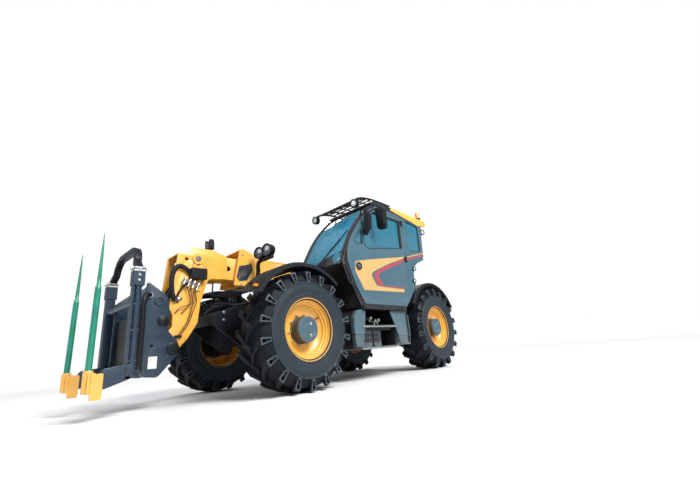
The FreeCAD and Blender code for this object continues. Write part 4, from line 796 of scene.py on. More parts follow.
def make_screen():
    """The curved windscreen and the other fixed panes, the screen's foot band, the seals and the wiper."""
    # The windscreen takes the darker glass, which is painted shade
    shape = Shape(SCREEN_GLASS_SHADED)
    line = smooth_line(SCREEN_LINE, 6)
    across = [CAB_RIGHT + SCREEN_EDGE, 0.4, 0.66, 0.93, CAB_LEFT - SCREEN_EDGE]
    bow = [0.0, 0.016, 0.022, 0.016, 0.0]
    rows = [[Vector((x, y - out * 0.8, z + out * 0.5)) for x, out in zip(across, bow)] for y, z in line]
    grid = [[shape.mesh.verts.new(p) for p in row] for row in rows]
    for low, high in zip(grid, grid[1:]):
        for i in range(len(across) - 1):
            shape.mesh.faces.new((low[i], low[i + 1], high[i + 1], high[i]))
    shape.use(GLASS)
    shape.plate(shrunk(QUARTER_PANE, -0.004), "x", CAB_LEFT - 0.022, CAB_LEFT - 0.014)
    shape.plate(shrunk(RIGHT_PANE, -0.004), "x", CAB_RIGHT + 0.014, CAB_RIGHT + 0.022)
    shape.plate(rect((0.306, 1.019), (1.866, 2.314)), "y", 1.795, 1.803)
    shape.piece("cab_panes", "chassis", ["cab_glass"], smooth=50)
    # The black band along the foot of the windscreen, higher on the door side
    band = Shape(GLOSS_BLACK)
    edges = []
    for i in range(10):
        u = i / 9
        x = across[0] + (across[-1] - across[0]) * u
        out = 0.028 - 0.022 * (2 * u - 1) ** 2
        rise = [Vector((x, y - out * 0.8, z + out * 0.5)) for y, z in line[:9]]
        top = 0.6 + 6.4 * u
        edges.append([rise[0], rise[int(top)].lerp(rise[int(top) + 1], top - int(top))])
    for near, far in zip(edges, edges[1:]):
        band.mesh.faces.new([band.mesh.verts.new(p) for p in (near[0], far[0], far[1], near[1])])
    band.piece("screen_foot_band", "chassis")
    seals = Shape(RUBBER_SEAL)
    for outline, x in ((rounded(QUARTER_PANE, 0.03), CAB_LEFT - 0.004),
                       (rounded(RIGHT_PANE, 0.04), CAB_RIGHT + 0.004)):
        seals.tube([(x, y, z) for y, z in outline], 0.008, 8, closed=True)
    for x in (CAB_RIGHT + SCREEN_EDGE + 0.006, CAB_LEFT - SCREEN_EDGE - 0.006):
        seals.tube([(x, y - 0.004, z + 0.002) for y, z in line], 0.011, 8)
    seals.piece("pane_seals", "chassis")
    wiper = Shape(PLASTIC)
    arm = [(0.66, -0.245, 1.475), (0.7, -0.255, 1.52), (0.8, -0.185, 1.66), (0.93, -0.085, 1.82)]
    wiper.bent(arm, 5, 0.008, 8)
    wiper.round_bar((0.66, -0.215, 1.455), (0.66, -0.265, 1.485), 0.024, 20)
    blade = [(0.8, -0.19, 1.665), (0.87, -0.13, 1.755), (0.94, -0.064, 1.86), (0.99, 0.0, 1.95)]
    wiper.bent(blade, 5, 0.006, 8, section=rect((-0.004, 0.004), (-0.012, 0.012)))
    wiper.piece("wiper", "chassis")


def make_door_piece():
    """The slate door: leaf, outer skin that laps over the frame, panes, seals, lock and stripes."""
    outline = curved_outline(DOOR_OUTLINE, 5, 11)
    lip = [(y, z) for y, z in DOOR_OUTLINE[:5]] + [(y - DOOR_LAP, z) for y, z in DOOR_OUTLINE[5:]]
    lip = curved_outline(lip, 5, 11)
    main = curved_outline(MAIN_PANE, 3, 6)
    panes = [rounded(main, [0.07] + [0.03] * (len(main) - 1)), rounded(SMALL_PANE, 0.02)]
    shape = Shape(PANEL_PAINT)
    shape.panel(rounded(outline, [0.04, 0.04, 0.05, 0.08] + [0.03] * (len(outline) - 4)), panes, "x",
                CAB_LEFT - 0.038, CAB_LEFT, 0.004)
    shape.panel(rounded(lip, [0.04, 0.04, 0.05, 0.08] + [0.03] * (len(lip) - 4)), panes, "x",
                CAB_LEFT + 0.0015, DOOR_SKIN, 0.003)
    # A pressed line low on the door
    shape.tube([(DOOR_SKIN, 0.06, 1.06), (DOOR_SKIN, 1.08, 1.06)], 0.004, 8)
    shape.use(RUBBER_SEAL)
    for pane in panes:
        shape.tube([(DOOR_SKIN - 0.002, y, z) for y, z in pane], 0.007, 8, closed=True)
    edge = [(y - 0.004, z) for y, z in lip[8:-1]]
    shape.tube([(DOOR_SKIN - 0.004, y, z) for y, z in edge], 0.006, 8)
    # The pane's broad black strips at its rear and top edges
    shape.box((CAB_LEFT - 0.012, DOOR_SKIN + 0.001), (1.112, 1.146), (1.845, 2.312))
    shape.box((CAB_LEFT - 0.012, DOOR_SKIN + 0.001), (0.5, 1.146), (2.292, 2.314))
    shape.piece("door_skin", "door", ["door"])
    glass = Shape(GLASS)
    glass.plate(shrunk(curved_outline(DOOR_PANE, 3, 8), -0.004), "x", CAB_LEFT - 0.02, CAB_LEFT - 0.014)
    glass.piece("door_pane", "door", ["door_glass"])
    fittings = Shape(GLOSS_BLACK)
    lock = (DOOR_SKIN, 0.046, 1.428)
    fittings.turned([(0, 0.054), (0.014, 0.052), (0.02, 0.046), (0.02, 0.034), (0.008, 0.031),
                     (0.008, 0.02)], lock, ACROSS, 40)
    fittings.use(HUB_PAINT)
    fittings.turned([(0.004, 0.029), (0.016, 0.027), (0.019, 0.02)], lock, ACROSS)
    fittings.piece("door_lock", "door")
    on_door = (DOOR_SKIN - 0.001, DOOR_SKIN + 0.0008)
    on_corner = (CAB_LEFT + 0.002, CAB_LEFT + 0.0038)
    for name, body, outline, paint, span in (
            ("door_yellow_stripe", "door", YELLOW_STRIPE, STRIPE_YELLOW, on_door),
            ("door_red_stripe", "door", RED_STRIPE, STRIPE_RED, on_door),
            ("corner_yellow_stripe", "chassis", YELLOW_TAIL, STRIPE_YELLOW, on_corner),
            ("corner_red_stripe", "chassis", RED_TAIL, STRIPE_RED, on_corner)):
        decal = Shape(paint)
        decal.plate(outline, "x", *span)
        decal.piece(name, body)


def make_roof_piece():
    """The roof: a black front half, a yellow wedge along its sides and rear, and a rounded edge."""
    shape = Shape(PAINT)
    side = [(0.93, 2.44), (0.975, 2.498), (1.97, 2.484), (2.004, 2.47), (2.006, 2.404), (1.985, 2.392),
            (1.715, 2.352), (1.4, 2.386)]
    shape.panel(side, [], "x", CAB_LEFT - 0.03, CAB_LEFT + 0.01, 0.008)
    shape.panel(side, [], "x", CAB_RIGHT - 0.01, CAB_RIGHT + 0.03, 0.008)
    shape.plate([(1.0, 2.46), (1.03, 2.492), (1.975, 2.48), (2.002, 2.466), (2.002, 2.41), (1.96, 2.4)], "x",
                CAB_RIGHT + 0.01, CAB_LEFT - 0.01)
    shape.use(GLOSS_BLACK)
    front = [(0.43, 2.42), (0.442, 2.45), (0.53, 2.49), (1.0, 2.49), (1.4, 2.4), (1.72, 2.368),
             (1.72, 2.352), (1.4, 2.372), (1.0, 2.418)]
    shape.panel(front, [], "x", CAB_RIGHT - 0.009, CAB_LEFT + 0.009, 0.008)
    shape.piece("roof_cap", "chassis", ["cab_roof"])


def make_guard():
    """The arched lattice of round bars over the roof's front and the windscreen's top."""
    shape = Shape(BLACK)
    line = smooth_line([(0.12, 2.4), (0.2, 2.452), (0.33, 2.492), (0.56, 2.52), (0.96, 2.528)], 5)
    left, right = CAB_LEFT - 0.02, CAB_RIGHT + 0.02
    bays = 5
    for i in range(bays + 1):
        x = right + (left - right) * i / bays
        shape.tube([(x, y, z) for y, z in line], 0.014 if i in (0, bays) else 0.0095, 12)
    for k in range(0, len(line), 2):
        radius = 0.014 if k in (0, len(line) - 1) else 0.009
        shape.tube([(right - 0.006, line[k].x, line[k].y), (left + 0.006, line[k].x, line[k].y)], radius, 12)
    # Slanting bars that make the lattice
    step = (left - right) / bays
    for i in range(bays):
        x = right + step * i
        for k in (0, 6, 12):
            near, far = line[k], line[k + 6]
            ends = (x, x + step) if (i + k // 6) % 2 else (x + step, x)
            shape.tube([(ends[0], near.x, near.y), (ends[1], far.x, far.y)], 0.007, 8)
    for x in (left, right):
        for y in (0.6, 0.86):
            shape.tube([(x, y, 2.49), (x, y, 2.522)], 0.012, 10)
            shape.box((x - 0.03, x + 0.03), (y - 0.03, y + 0.03), (2.488, 2.497))
    shape.piece("guard_lattice", "chassis", ["roof_guard"])


def lamp_body(shape, centre, way, radius, depth, ribs=0, lens=LENS):
    """A round lamp facing a way: shell, bezel, reflector ring with studs, lens and cooling ribs."""
    way = Vector(way).normalized()
    centre = Vector(centre)
    shape.use(BLACK)
    back = -depth
    shape.turned([(back, radius * 0.45), (back * 0.85, radius * 0.8), (back * 0.3, radius * 0.97),
                  (0, radius), (0.006, radius), (0.006, radius * 0.9), (-0.004, radius * 0.86)], centre, way)
    for i in range(ribs):
        shape.turned([(back * (0.45 + 0.16 * i), radius * 1.02),
                      (back * (0.45 + 0.16 * i) + 0.006, radius * 1.02)], centre, way)
    shape.use(REFLECTOR)
    shape.turned([(-0.005, radius * 0.88), (-0.012, radius * 0.74), (-0.004, radius * 0.72)], centre, way)
    side = way.orthogonal().normalized()
    for i in range(8):
        turn = 2 * math.pi * i / 8
        spoke = (Matrix.Rotation(turn, 3, way) @ side) * radius * 0.8
        shape.turned([(0.0, radius * 0.055), (0.004, radius * 0.045)], centre + spoke - way * 0.01, way, 8)
    shape.use(lens)
    shape.turned([(-0.006, radius * 0.7), (0.0, radius * 0.62), (0.004, radius * 0.36), (0.005, 0.004)],
                 centre, way)


def make_lamp_pieces():
    """Work lamps under the guard's corners with the beacon, the pair of road lamps, and the head's lamp."""
    shape = Shape(BLACK)
    for x in (CAB_RIGHT + 0.02, CAB_LEFT - 0.02):
        lamp_body(shape, (x, 0.088, 2.345), (0.12 if x > 0.6 else -0.12, -1, -0.15), 0.06, 0.07, 3)
        shape.use(BLACK)
        shape.tube([(x, 0.15, 2.33), (x, 0.15, 2.398)], 0.01, 10)
        shape.box((x - 0.02, x + 0.02), (0.135, 0.165), (2.385, 2.405))
    shape.use(BLACK)
    shape.round_bar((1.025, 1.88, 2.496), (1.025, 1.88, 2.545), 0.048, 28)
    shape.use(AMBER)
    shape.turned([(0, 0.045), (0.075, 0.043), (0.11, 0.034), (0.124, 0.015)], (1.025, 1.88, 2.545), UP, 32)
    shape.piece("work_lamps", "chassis", ["lamps"])
    road = Shape(BLACK)
    y = FRONT_AXLE_Y
    for x in (0.368, 0.534):
        lamp_body(road, (x, y - 0.12, 1.632), (0.25, -1, 0), 0.078, 0.075, 4, DARK_LENS)
        road.use(BLACK)
        road.tube([(x, y - 0.075, 1.59), (x, y - 0.075, 1.545)], 0.014, 10)
    stalk = [(0.276, y - 0.135, 0.995), (0.276, y - 0.105, 1.2), (0.276, y - 0.07, 1.4),
             (0.276, y - 0.07, 1.49), (0.3, y - 0.072, 1.535), (0.36, y - 0.072, 1.545),
             (0.58, y - 0.072, 1.545)]
    road.bent(stalk, 6, 0.025, 14)
    road.box((0.262, 0.29), (y - 0.155, y - 0.095), (0.99, 1.05))
    road.piece("road_lamps", "chassis", ["headlamps"])
    head = Shape(BLACK)
    y = -1.45
    head.box((-0.03, 0.03), (y - 0.03, y + 0.03), (1.634, 1.642))
    head.tube([(0, y, 1.64), (0, y, 1.7)], 0.012, 12)
    head.bent([(-0.062, y, 1.745), (-0.062, y, 1.705), (0, y, 1.695), (0.062, y, 1.705), (0.062, y, 1.745)],
              5, 0.006, 8)
    head.pad((-0.056, 0.056), (y - 0.03, y + 0.03), (1.69, 1.79), 0.016, "y")
    for hand in (-1, 1):
        head.pad(sided(hand, 0.04, 0.058), (y - 0.028, y + 0.028), (1.78, 1.815), 0.008, "x")
    for i in range(5):
        head.box((-0.052, 0.052), (y + 0.028, y + 0.042), (1.702 + 0.018 * i, 1.708 + 0.018 * i))
    head.use(REFLECTOR)
    head.pad((-0.042, 0.042), (y - 0.033, y - 0.029), (1.704, 1.776), 0.012, "y")
    head.piece("boom_lamp", "inner_boom", ["head_lamp"])


def make_mirrors():
    """The tall door mirror and the one on the right guard, each a rounded shell with a glass and an arm."""
    door = Shape(PLASTIC)
    arm = [(1.092, 0.33, 2.23), (1.14, 0.35, 2.265), (1.2, 0.395, 2.29), (1.262, 0.412, 2.27),
           (1.27, 0.412, 2.18)]
    door.bent(arm, 5, 0.011, 10)
    door.pad((1.088, 1.1), (0.3, 0.36), (2.18, 2.28), 0.015, "x")
    outline = rounded([(1.19, 2.3), (1.202, 2.0), (1.222, 1.972), (1.325, 1.962), (1.352, 1.985),
                       (1.358, 2.235), (1.315, 2.29)], 0.03)
    middle = (1.274, 2.13)
    door.skin([[lifted(p, "y", y) for p in scaled(outline, middle, k)]
               for y, k in ((0.38, 0.78), (0.392, 0.95), (0.418, 1.0), (0.44, 1.0))])
    door.use(MIRROR_GLASS)
    door.plate(scaled(outline, middle, 0.92), "y", 0.439, 0.443)
    door.piece("door_side_mirror", "door", ["door_mirror"])
    right = Shape(PLASTIC)
    y = FRONT_AXLE_Y
    right.bent([(-1.05, y, 1.35), (-1.05, y, 1.6), (-1.07, y, 1.632), (-1.14, y, 1.64), (-1.2, y, 1.64)], 5,
               0.011, 10)
    right.pad((-1.09, -1.01), (y - 0.035, y + 0.035), (1.346, 1.356), 0.01, "z")
    outline = rounded([(-1.325, 1.85), (-1.325, 1.56), (-1.155, 1.56), (-1.155, 1.85)], 0.03)
    right.plate(outline, "y", y - 0.022, y + 0.02)
    right.use(MIRROR_GLASS)
    right.plate(scaled(outline, (-1.24, 1.705), 0.9, 0.92), "y", y + 0.019, y + 0.023)
    right.piece("right_side_mirror", "chassis", ["right_mirror"])


# Boom, head, carriage and fork
TILT_Y = -1.9
TILT_Z = 0.54
HEAD_SIDE = [(0.032, 1.568), (0.157, 1.64), (0.415, 1.646), (0.61, 1.59), (0.6, 1.31), (0.379, 1.294),
             (0.296, 1.026), (0.272, 0.801), (0.171, 0.635), (0.065, 0.52), (-0.043, 0.52), (-0.06, 0.6),
             (-0.043, 0.692), (0.008, 0.76), (0.008, 0.88), (-0.031, 0.95)]
CARRIAGE_SIDE = [(-0.276, 1.202), (-0.075, 1.059), (-0.042, 0.882), (-0.061, 0.722), (0.05, 0.6),
                 (0.05, 0.48), (-0.127, 0.281), (-0.266, 0.296), (-0.272, 0.711), (-0.28, 0.992)]
HEAD_X = 0.15
CARRIAGE_X = 0.225
UPRIGHT = (0.417, -2.32)
TINE = (0.4, -2.61)
HINGE = (-2.53, 0.27)
COLLAR_X = 0.1745


def from_tilt(points):
    """Side points given from the tilt pivot's place along the machine."""
    return [(TILT_Y + a, b) for a, b in points]


def circle(centre, radius, sides=28):
    """A flat circle, as an outline."""
    return [(centre[0] + radius * math.cos(2 * math.pi * i / sides),
             centre[1] + radius * math.sin(2 * math.pi * i / sides)) for i in range(sides)]


def make_inner_boom_piece():
    """The yellow inner tube and the gooseneck head, with rounded plates, welds, bosses and pins."""
    shape = Shape(PAINT)
    tube = rounded(rect((-0.12, 0.12), (1.31, 1.59)), 0.016)
    inner = scaled(tube, (0, 1.45), 0.92, 0.93)
    shape.panel(tube, [inner], "y", -1.5, 1.38, 0.002)
    shape.plate(tube, "y", -1.5, -1.49)
    side = rounded(from_tilt(HEAD_SIDE), [0.05, 0.08, 0.1, 0.05, 0.03, 0.06, 0.1, 0.08, 0.06, 0.05, 0.05,
                                          0.04, 0.03, 0.02, 0.02, 0.05])
    for hand in (-1, 1):
        near, far = hand * (HEAD_X - 0.022), hand * HEAD_X
        shape.panel(side, [circle((TILT_Y + 0.125, 1.5), 0.02)], "x", near, far, 0.003)
        shape.box(sided(hand, 0.12, HEAD_X - 0.01), (-1.48, -1.34), (1.33, 1.57))
        # Bosses at the pins, with their caps
        for y, z, radius, reach, cap in ((TILT_Y, TILT_Z, 0.072, 0.014, 0.036),
                                         (TILT_Y + 0.248, 1.512, 0.062, 0.02, 0.03)):
            shape.ring([(-0.002, radius), (reach - 0.003, radius), (reach, radius - 0.004),
                        (reach, cap + 0.003), (-0.002, cap + 0.003)], (far, y, z), (hand, 0, 0), 40)
            shape.use(CAST if z > 1 else STEEL_BOLT)
            shape.turned([(0, cap), (reach + 0.004, cap), (reach + 0.007, cap - 0.005)], (far, y, z),
                         (hand, 0, 0))
            shape.use(PAINT)
        shape.tube([(far - hand * 0.004, y, z) for y, z in ((-1.302, 1.585), (-1.302, 1.318))], 0.006, 8)
    # Cross plates that close the head: its brow, its back and its foot
    for points, rise in (([(0.035, 1.56), (0.157, 1.628), (0.415, 1.634), (0.6, 1.582)], -0.014),
                         ([(0.385, 1.3), (0.3, 1.035), (0.268, 0.81)], 0.014)):
        line = from_tilt(points)
        shape.plate(line + [(y, z + rise) for y, z in reversed(line)], "x", -HEAD_X + 0.01, HEAD_X - 0.01)
    shape.round_bar((-HEAD_X + 0.005, TILT_Y + 0.2, 0.8), (HEAD_X - 0.005, TILT_Y + 0.2, 0.8), 0.03, 28)
    shape.use(CHROME)
    shape.round_bar((-HEAD_X - 0.001, TILT_Y + 0.26, 1.5), (HEAD_X + 0.001, TILT_Y + 0.26, 1.5), 0.028, 28)
    for hand in (-1, 1):
        shape.round_bar((hand * (HEAD_X - 0.02), TILT_Y, TILT_Z), (hand * CARRIAGE_X, TILT_Y, TILT_Z), 0.032,
                        28)
    # The black plugs in the tube's sides and the grease nipples
    shape.use(PLASTIC)
    for hand in (-1, 1):
        shape.turned([(0, 0.03), (0.003, 0.029), (0.004, 0.022)], (hand * 0.12, -1.265, 1.452), (hand, 0, 0),
                     28)
    shape.use(STEEL_BOLT)
    for y, z in ((TILT_Y + 0.19, 1.45), (TILT_Y + 0.3, 1.43), (TILT_Y + 0.075, 0.66)):
        shape.bolt((HEAD_X, y, z), ACROSS, 0.006)
    shape.piece("gooseneck", "inner_boom", ["inner_boom"])


def make_hydraulics():
    """The valve block with its handle and couplers on the head, the thick hose and the thin ones."""
    block = Shape(BLACK)
    block.pad((0.15, 0.222), (-1.745, -1.57), (1.268, 1.392), 0.01, "x")
    for i in range(3):
        block.box((0.222, 0.228), (-1.735 + 0.055 * i, -1.695 + 0.055 * i), (1.285, 1.375))
    block.use(PAINT)
    handle = [(0.19, -1.72, 1.392), (0.205, -1.722, 1.415), (0.21, -1.695, 1.438), (0.212, -1.655, 1.444),
              (0.21, -1.61, 1.436), (0.204, -1.585, 1.412), (0.19, -1.585, 1.392)]
    block.bent(handle, 5, 0.006, 10)
    block.use(STEEL_BOLT)
    for row in range(2):
        for i in range(4):
            spot = Vector((0.172 + 0.032 * row, -1.8 + 0.046 * i, 1.252 - 0.018 * i))
            way = Vector((0.1, -0.35, -0.9)).normalized()
            block.round_bar(spot + way * -0.03, spot + way * 0.035, 0.0135, 16)
            block.turned([(0, 0.019), (0.018, 0.019)], spot, way, 6)
            block.round_bar(spot + way * 0.03, spot + way * 0.06, 0.01, 12)
    block.piece("valve_and_couplers", "inner_boom", ["valve_block"])
    hoses = Shape(HOSE)
    # The loop lies between the head and the carriage's plate, clear of both
    slot = 0.1768
    arch = [(0.15, -1.7, 1.3), (0.178, -1.77, 1.365), (slot, -1.85, 1.405), (slot, -1.905, 1.365),
            (slot, -1.93, 1.27), (slot, -1.926, 1.15), (slot, -1.906, 1.06), (slot, -1.872, 1.035)]
    loop = smooth_line(arch, 8)
    hoses.tube(loop, 0.024, 16)
    for k in range(4, len(loop) - 1, 2):
        hoses.turned([(0, 0.0255), (0.004, 0.0255)], loop[k], loop[k + 1] - loop[k], 16)
    inner = [(0.165, -1.74, 1.255), (0.18, -1.8, 1.19), (0.178, -1.85, 1.12), (0.165, -1.862, 1.06),
             (0.15, -1.85, 1.01)]
    hoses.bent(inner, 6, 0.011, 12)
    hoses.use(STEEL_BOLT)
    hoses.round_bar((slot, -1.892, 1.036), (0.17, -1.842, 1.05), 0.025, 6)
    hoses.round_bar((0.17, -1.852, 1.048), (0.151, -1.815, 1.056), 0.019, 20)
    hoses.piece("thick_hose", "inner_boom")
    thin = Shape(RED_HOSE)
    for k in range(4):
        shift = 0.011 * k
        route = [(0.178 + 0.6 * shift, -1.775 + 0.045 * k, 1.19 - 0.018 * k),
                 (0.19, -1.755 + 2.2 * shift, 1.12), (0.188 + shift * 0.4, -1.725 + 1.6 * shift, 1.02)]
        if k % 2:
            route += [(0.182, -1.735 + shift, 0.9), (0.176, -1.765 + shift, 0.8),
                      (0.168, -1.815 + shift, 0.715), (0.162, -1.85 + shift, 0.66)]
        else:
            route += [(0.18, -1.77 - 3 * shift, 0.95), (0.166, -1.8 - 3 * shift, 0.905),
                      (0.148, -1.81 - 3 * shift, 0.9)]
        thin.bent(route, 6, 0.005, 10)
    thin.use(BLACK)
    thin.pad((0.15, 0.176), (-1.868, -1.798), (0.645, 0.672), 0.006, "x")
    thin.piece("thin_hoses", "inner_boom")


def make_outer_boom_details():
    """The outer boom's pierced covers in the collar's windows, bolts, clamps, pipes and welds."""
    shape = Shape(FORK_SLATE_AND_SHADE)
    window = [(-1.146, 1.296), (-1.184, 1.35), (-1.15, 1.49), (-0.973, 1.536), (-0.962, 1.452),
              (-1.042, 1.318)]
    for hand in (-1, 1):
        holes = [circle((-1.145 + 0.033 * i + 0.008 * j, 1.345 + 0.03 * j + 0.012 * i), 0.01, 12)
                 for i in range(5)
                 for j in range(5) if 1.33 + 0.03 * i < 1.345 + 0.03 * j + 0.012 * i < 1.475 + 0.014 * i]
        shape.panel(rounded(window, 0.014), holes, "x", hand * COLLAR_X, hand * (COLLAR_X + 0.003), 0.001)
    shape.use(STEEL_BOLT)
    for x in (-0.1, 0.1):
        for y, z in ((-1.045, 1.709), (-0.985, 1.686)):
            shape.bolt((x, y, z), (0, -0.2, 1), 0.016)
    for hand in (-1, 1):
        for y, z in ((-1.12, 1.268), (-1.02, 1.278), (-0.95, 1.6), (-1.1, 1.645), (-0.78, 1.4)):
            shape.bolt((hand * 0.174, y, z), (hand, 0, 0), 0.011)
    # Service pipes along the right side of the boom
    shape.use(CHROME)
    for i in range(3):
        shape.tube([(-0.172, -0.7, 1.5 - 0.035 * i), (-0.172, 1.95, 1.5 - 0.035 * i)], 0.009, 10)
    shape.use(BLACK)
    for y in (-0.45, 0.35, 1.15, 1.85):
        shape.box((-0.186, -0.16), (y, y + 0.05), (1.405, 1.522))
    shape.use(HOSE)
    for i in range(3):
        route = [(-0.172, 1.95, 1.5 - 0.035 * i), (-0.185, 2.03, 1.49 - 0.04 * i),
                 (-0.19, 2.1, 1.4 - 0.05 * i), (-0.165, 2.12, 1.33 - 0.03 * i)]
        shape.bent(route, 5, 0.012, 10)
    shape.piece("boom_fittings", "boom")
    weld = Shape(PAINT)
    for hand in (-1, 1):
        weld.tube([(hand * 0.161, -0.7, 1.262), (hand * 0.161, 2.27, 1.262)], 0.005, 6)
        weld.tube([(hand * 0.161, -0.7, 1.602), (hand * 0.161, 2.27, 1.602)], 0.005, 6)
    weld.piece("boom_welds", "boom")


def make_carriage_piece():
    """The slate carriage plates, pivot caps, cross tubes, bare label place and the latch's pipe."""
    shape = Shape(FORK_SLATE_AND_SHADE)
    side = rounded(from_tilt(CARRIAGE_SIDE), [0.02, 0.1, 0.05, 0.05, 0.05, 0.05, 0.06, 0.03, 0.02, 0.02])
    for hand in (-1, 1):
        near, far = hand * (CARRIAGE_X - 0.022), hand * CARRIAGE_X
        shape.panel(side, [circle((TILT_Y, TILT_Z), 0.0325), circle((TILT_Y - 0.196, 0.574), 0.014, 16)],
                    "x", near, far, 0.003)
        shape.round_bar((near, TILT_Y - 0.108, TILT_Z + 0.269),
                        (hand * 0.09, TILT_Y - 0.108, TILT_Z + 0.269), 0.036, 28)
        # The arc boss, the domed cap over the cylinder's pin and the big pivot's cap
        out = Vector((hand, 0, 0))
        shape.ring(rect((0, 0.012), (0.046, 0.034)), (far, TILT_Y - 0.154, TILT_Z + 0.467), out)
        shape.use(BLACK)
        shape.turned([(0, 0.054), (0.01, 0.052), (0.012, 0.044), (0.02, 0.034), (0.024, 0.016)],
                     (far, TILT_Y - 0.108, TILT_Z + 0.269), out)
        shape.turned([(0.0, 0.062), (0.01, 0.06), (0.014, 0.052), (0.014, 0.02), (0.018, 0.016)],
                     (far, TILT_Y, TILT_Z), out, 40)
        shape.use(FORK_SLATE_AND_SHADE)
    for y, z, radius in ((TILT_Y - 0.23, 1.12, 0.034), (TILT_Y - 0.205, 0.345, 0.04)):
        shape.round_bar((-CARRIAGE_X + 0.02, y, z), (CARRIAGE_X - 0.02, y, z), radius, 28)
    shape.use(BARE_LABEL)
    shape.box((CARRIAGE_X, CARRIAGE_X + 0.0008), (-2.118, -2.04), (0.365, 0.475))
    shape.piece("carriage_plates", "carriage", ["carriage"])
    pipe = Shape(BLACK)
    route = [(0.24, -2.15, 1.06), (0.275, -2.19, 1.055), (0.296, -2.215, 1.0), (0.3, -2.222, 0.9),
             (0.302, -2.218, 0.65), (0.3, -2.225, 0.4)]
    pipe.bent(route, 6, 0.026, 20)
    pipe.round_bar((0.3, -2.225, 0.395), (0.3, -2.225, 0.37), 0.033, 24)
    pipe.box((0.225, 0.3), (-2.25, -2.2), (0.7, 0.73))
    pipe.box((0.225, 0.3), (-2.25, -2.2), (0.45, 0.48))
    pipe.use(STEEL_BOLT)
    pipe.round_bar((0.224, -2.15, 1.06), (0.25, -2.15, 1.06), 0.032, 6)
    pipe.piece("latch_pipe", "carriage")


def make_fork_piece():
    """The fork's dark frame: channel uprights with ribs and posts, sleeves, beams, brackets and hoop."""
    ux, uy = UPRIGHT
    shape = Shape(FORK_SLATE_AND_SHADE)
    for hand in (-1, 1):
        section = rounded([(-0.04, -0.04), (0.04, -0.04), (0.04, -0.03), (-0.03, -0.03), (-0.03, 0.04),
                           (-0.04, 0.04)], 0.004, 2)
        shape.plate([(hand * (ux + a), uy + b) for a, b in section], "z", 0.32, 1.11)
        for z in (0.44, 0.7, 0.93):
            shape.box(sided(hand, ux - 0.031, ux + 0.031), (uy - 0.031, uy + 0.038), (z, z + 0.01))
        sleeve = rounded(rect((ux - 0.049, ux + 0.049), (uy - 0.049, uy + 0.049)), 0.008, 3)
        shape.plate([(hand * a, b) for a, b in sleeve], "z", 1.105, 1.235)
        shape.round_bar((hand * (ux + 0.004), uy + 0.006, 0.321), (hand * (ux + 0.004), uy + 0.006, 1.105),
                        0.032, 24)
        bracket = rounded([(uy, 0.3), (uy, 0.42), (-2.5, 0.4), (-2.56, 0.3), (-2.56, 0.245), (-2.5, 0.24)],
                          [0.004, 0.004, 0.03, 0.03, 0.03, 0.02])
        for near in (0.352, 0.432):
            shape.panel(bracket, [], "x", hand * near, hand * (near + 0.016), 0.002)
        plate = [(uy, 0.33), (-2.18, 0.3), (-2.18, 1.14), (uy, 1.02)]
        shape.panel(plate, [rounded([(uy + 0.03, 0.52), (-2.205, 0.5), (-2.205, 0.86), (uy + 0.03, 0.84)],
                                    0.03)], "x", hand * (CARRIAGE_X - 0.022), hand * CARRIAGE_X, 0.002)
        shape.box(sided(hand, 0.347, 0.448), (uy - 0.04, uy + 0.04), (0.302, 0.322))
        shape.use(CHROME)
        shape.round_bar((hand * 0.35, HINGE[0], HINGE[1]), (hand * 0.45, HINGE[0], HINGE[1]), 0.016, 24)
        shape.use(FORK_SLATE_AND_SHADE)
    beam = rounded(rect((uy - 0.04, uy + 0.04), (0.36 - 0.04, 0.36 + 0.04)), 0.008, 3)
    shape.plate(beam, "x", -ux + 0.03, ux - 0.03)
    shape.round_bar((-ux + 0.03, uy, 0.962), (ux - 0.03, uy, 0.962), 0.03, 28)
    # The black back plate low between the uprights: partly a real plate, and partly painted shade that fills
    # the shadowed gap above it
    shape.use(BLACK)
    shape.panel([(-0.292, 0.4), (0.292, 0.4), (0.292, 0.9), (0.16, 0.85), (-0.16, 0.85), (-0.292, 0.9)], [],
                "y", uy + 0.034, uy + 0.042)
    shape.piece("fork_channels", "carriage", ["fork_frame"])
    clamps = Shape(STEEL_BOLT)
    for hand in (-1, 1):
        x = hand * ux
        clamps.box((x - 0.046, x + 0.046), (uy - 0.046, uy + 0.046), (1.2352, 1.252))
        ring = rounded(rect((x - 0.044, x + 0.044), (uy - 0.044, uy + 0.044)), 0.012, 3)
        clamps.tube([(a, b, 1.268) for a, b in ring], 0.01, 8, closed=True)
        for spot in ((-0.03, 0.052), (0.03, 0.052)):
            clamps.bolt((x + spot[0], uy + spot[1], 1.262), ALONG, 0.01)
            clamps.bolt((x + spot[0], uy - spot[1], 1.262), (0, -1, 0), 0.01)
        clamps.bolt((x + hand * 0.046, uy, 1.262), (hand, 0, 0), 0.012)
        for z in (1.15, 1.2):
            clamps.bolt((x + hand * 0.049, uy, z), (hand, 0, 0), 0.009)
    clamps.piece("hoop_clamps", "carriage")
    hoop = Shape(BLACK)
    half = 0.03
    # One leg and half of the top, with a wide bend and a slight lean back towards the machine
    corner, top, bend = 0.318, 1.5, 0.15
    line = [(ux, 0.0, 1.236), (ux - 0.022, 0.004, 1.285)]
    for i in range(10):
        turn = math.radians(10 * i)
        line.append((corner - bend + bend * math.cos(turn), 0.012 + 0.01 * math.sin(turn),
                     top - bend + bend * math.sin(turn)))
    full = [(x, uy + back, z) for x, back, z in line] + [(-x, uy + back, z) for x, back, z in reversed(line)]
    hoop.tube(full, half, section=rounded(rect((-half, half), (-half, half)), 0.006, 3))
    hoop.piece("hoop_bar", "carriage", ["fork_hoop"])


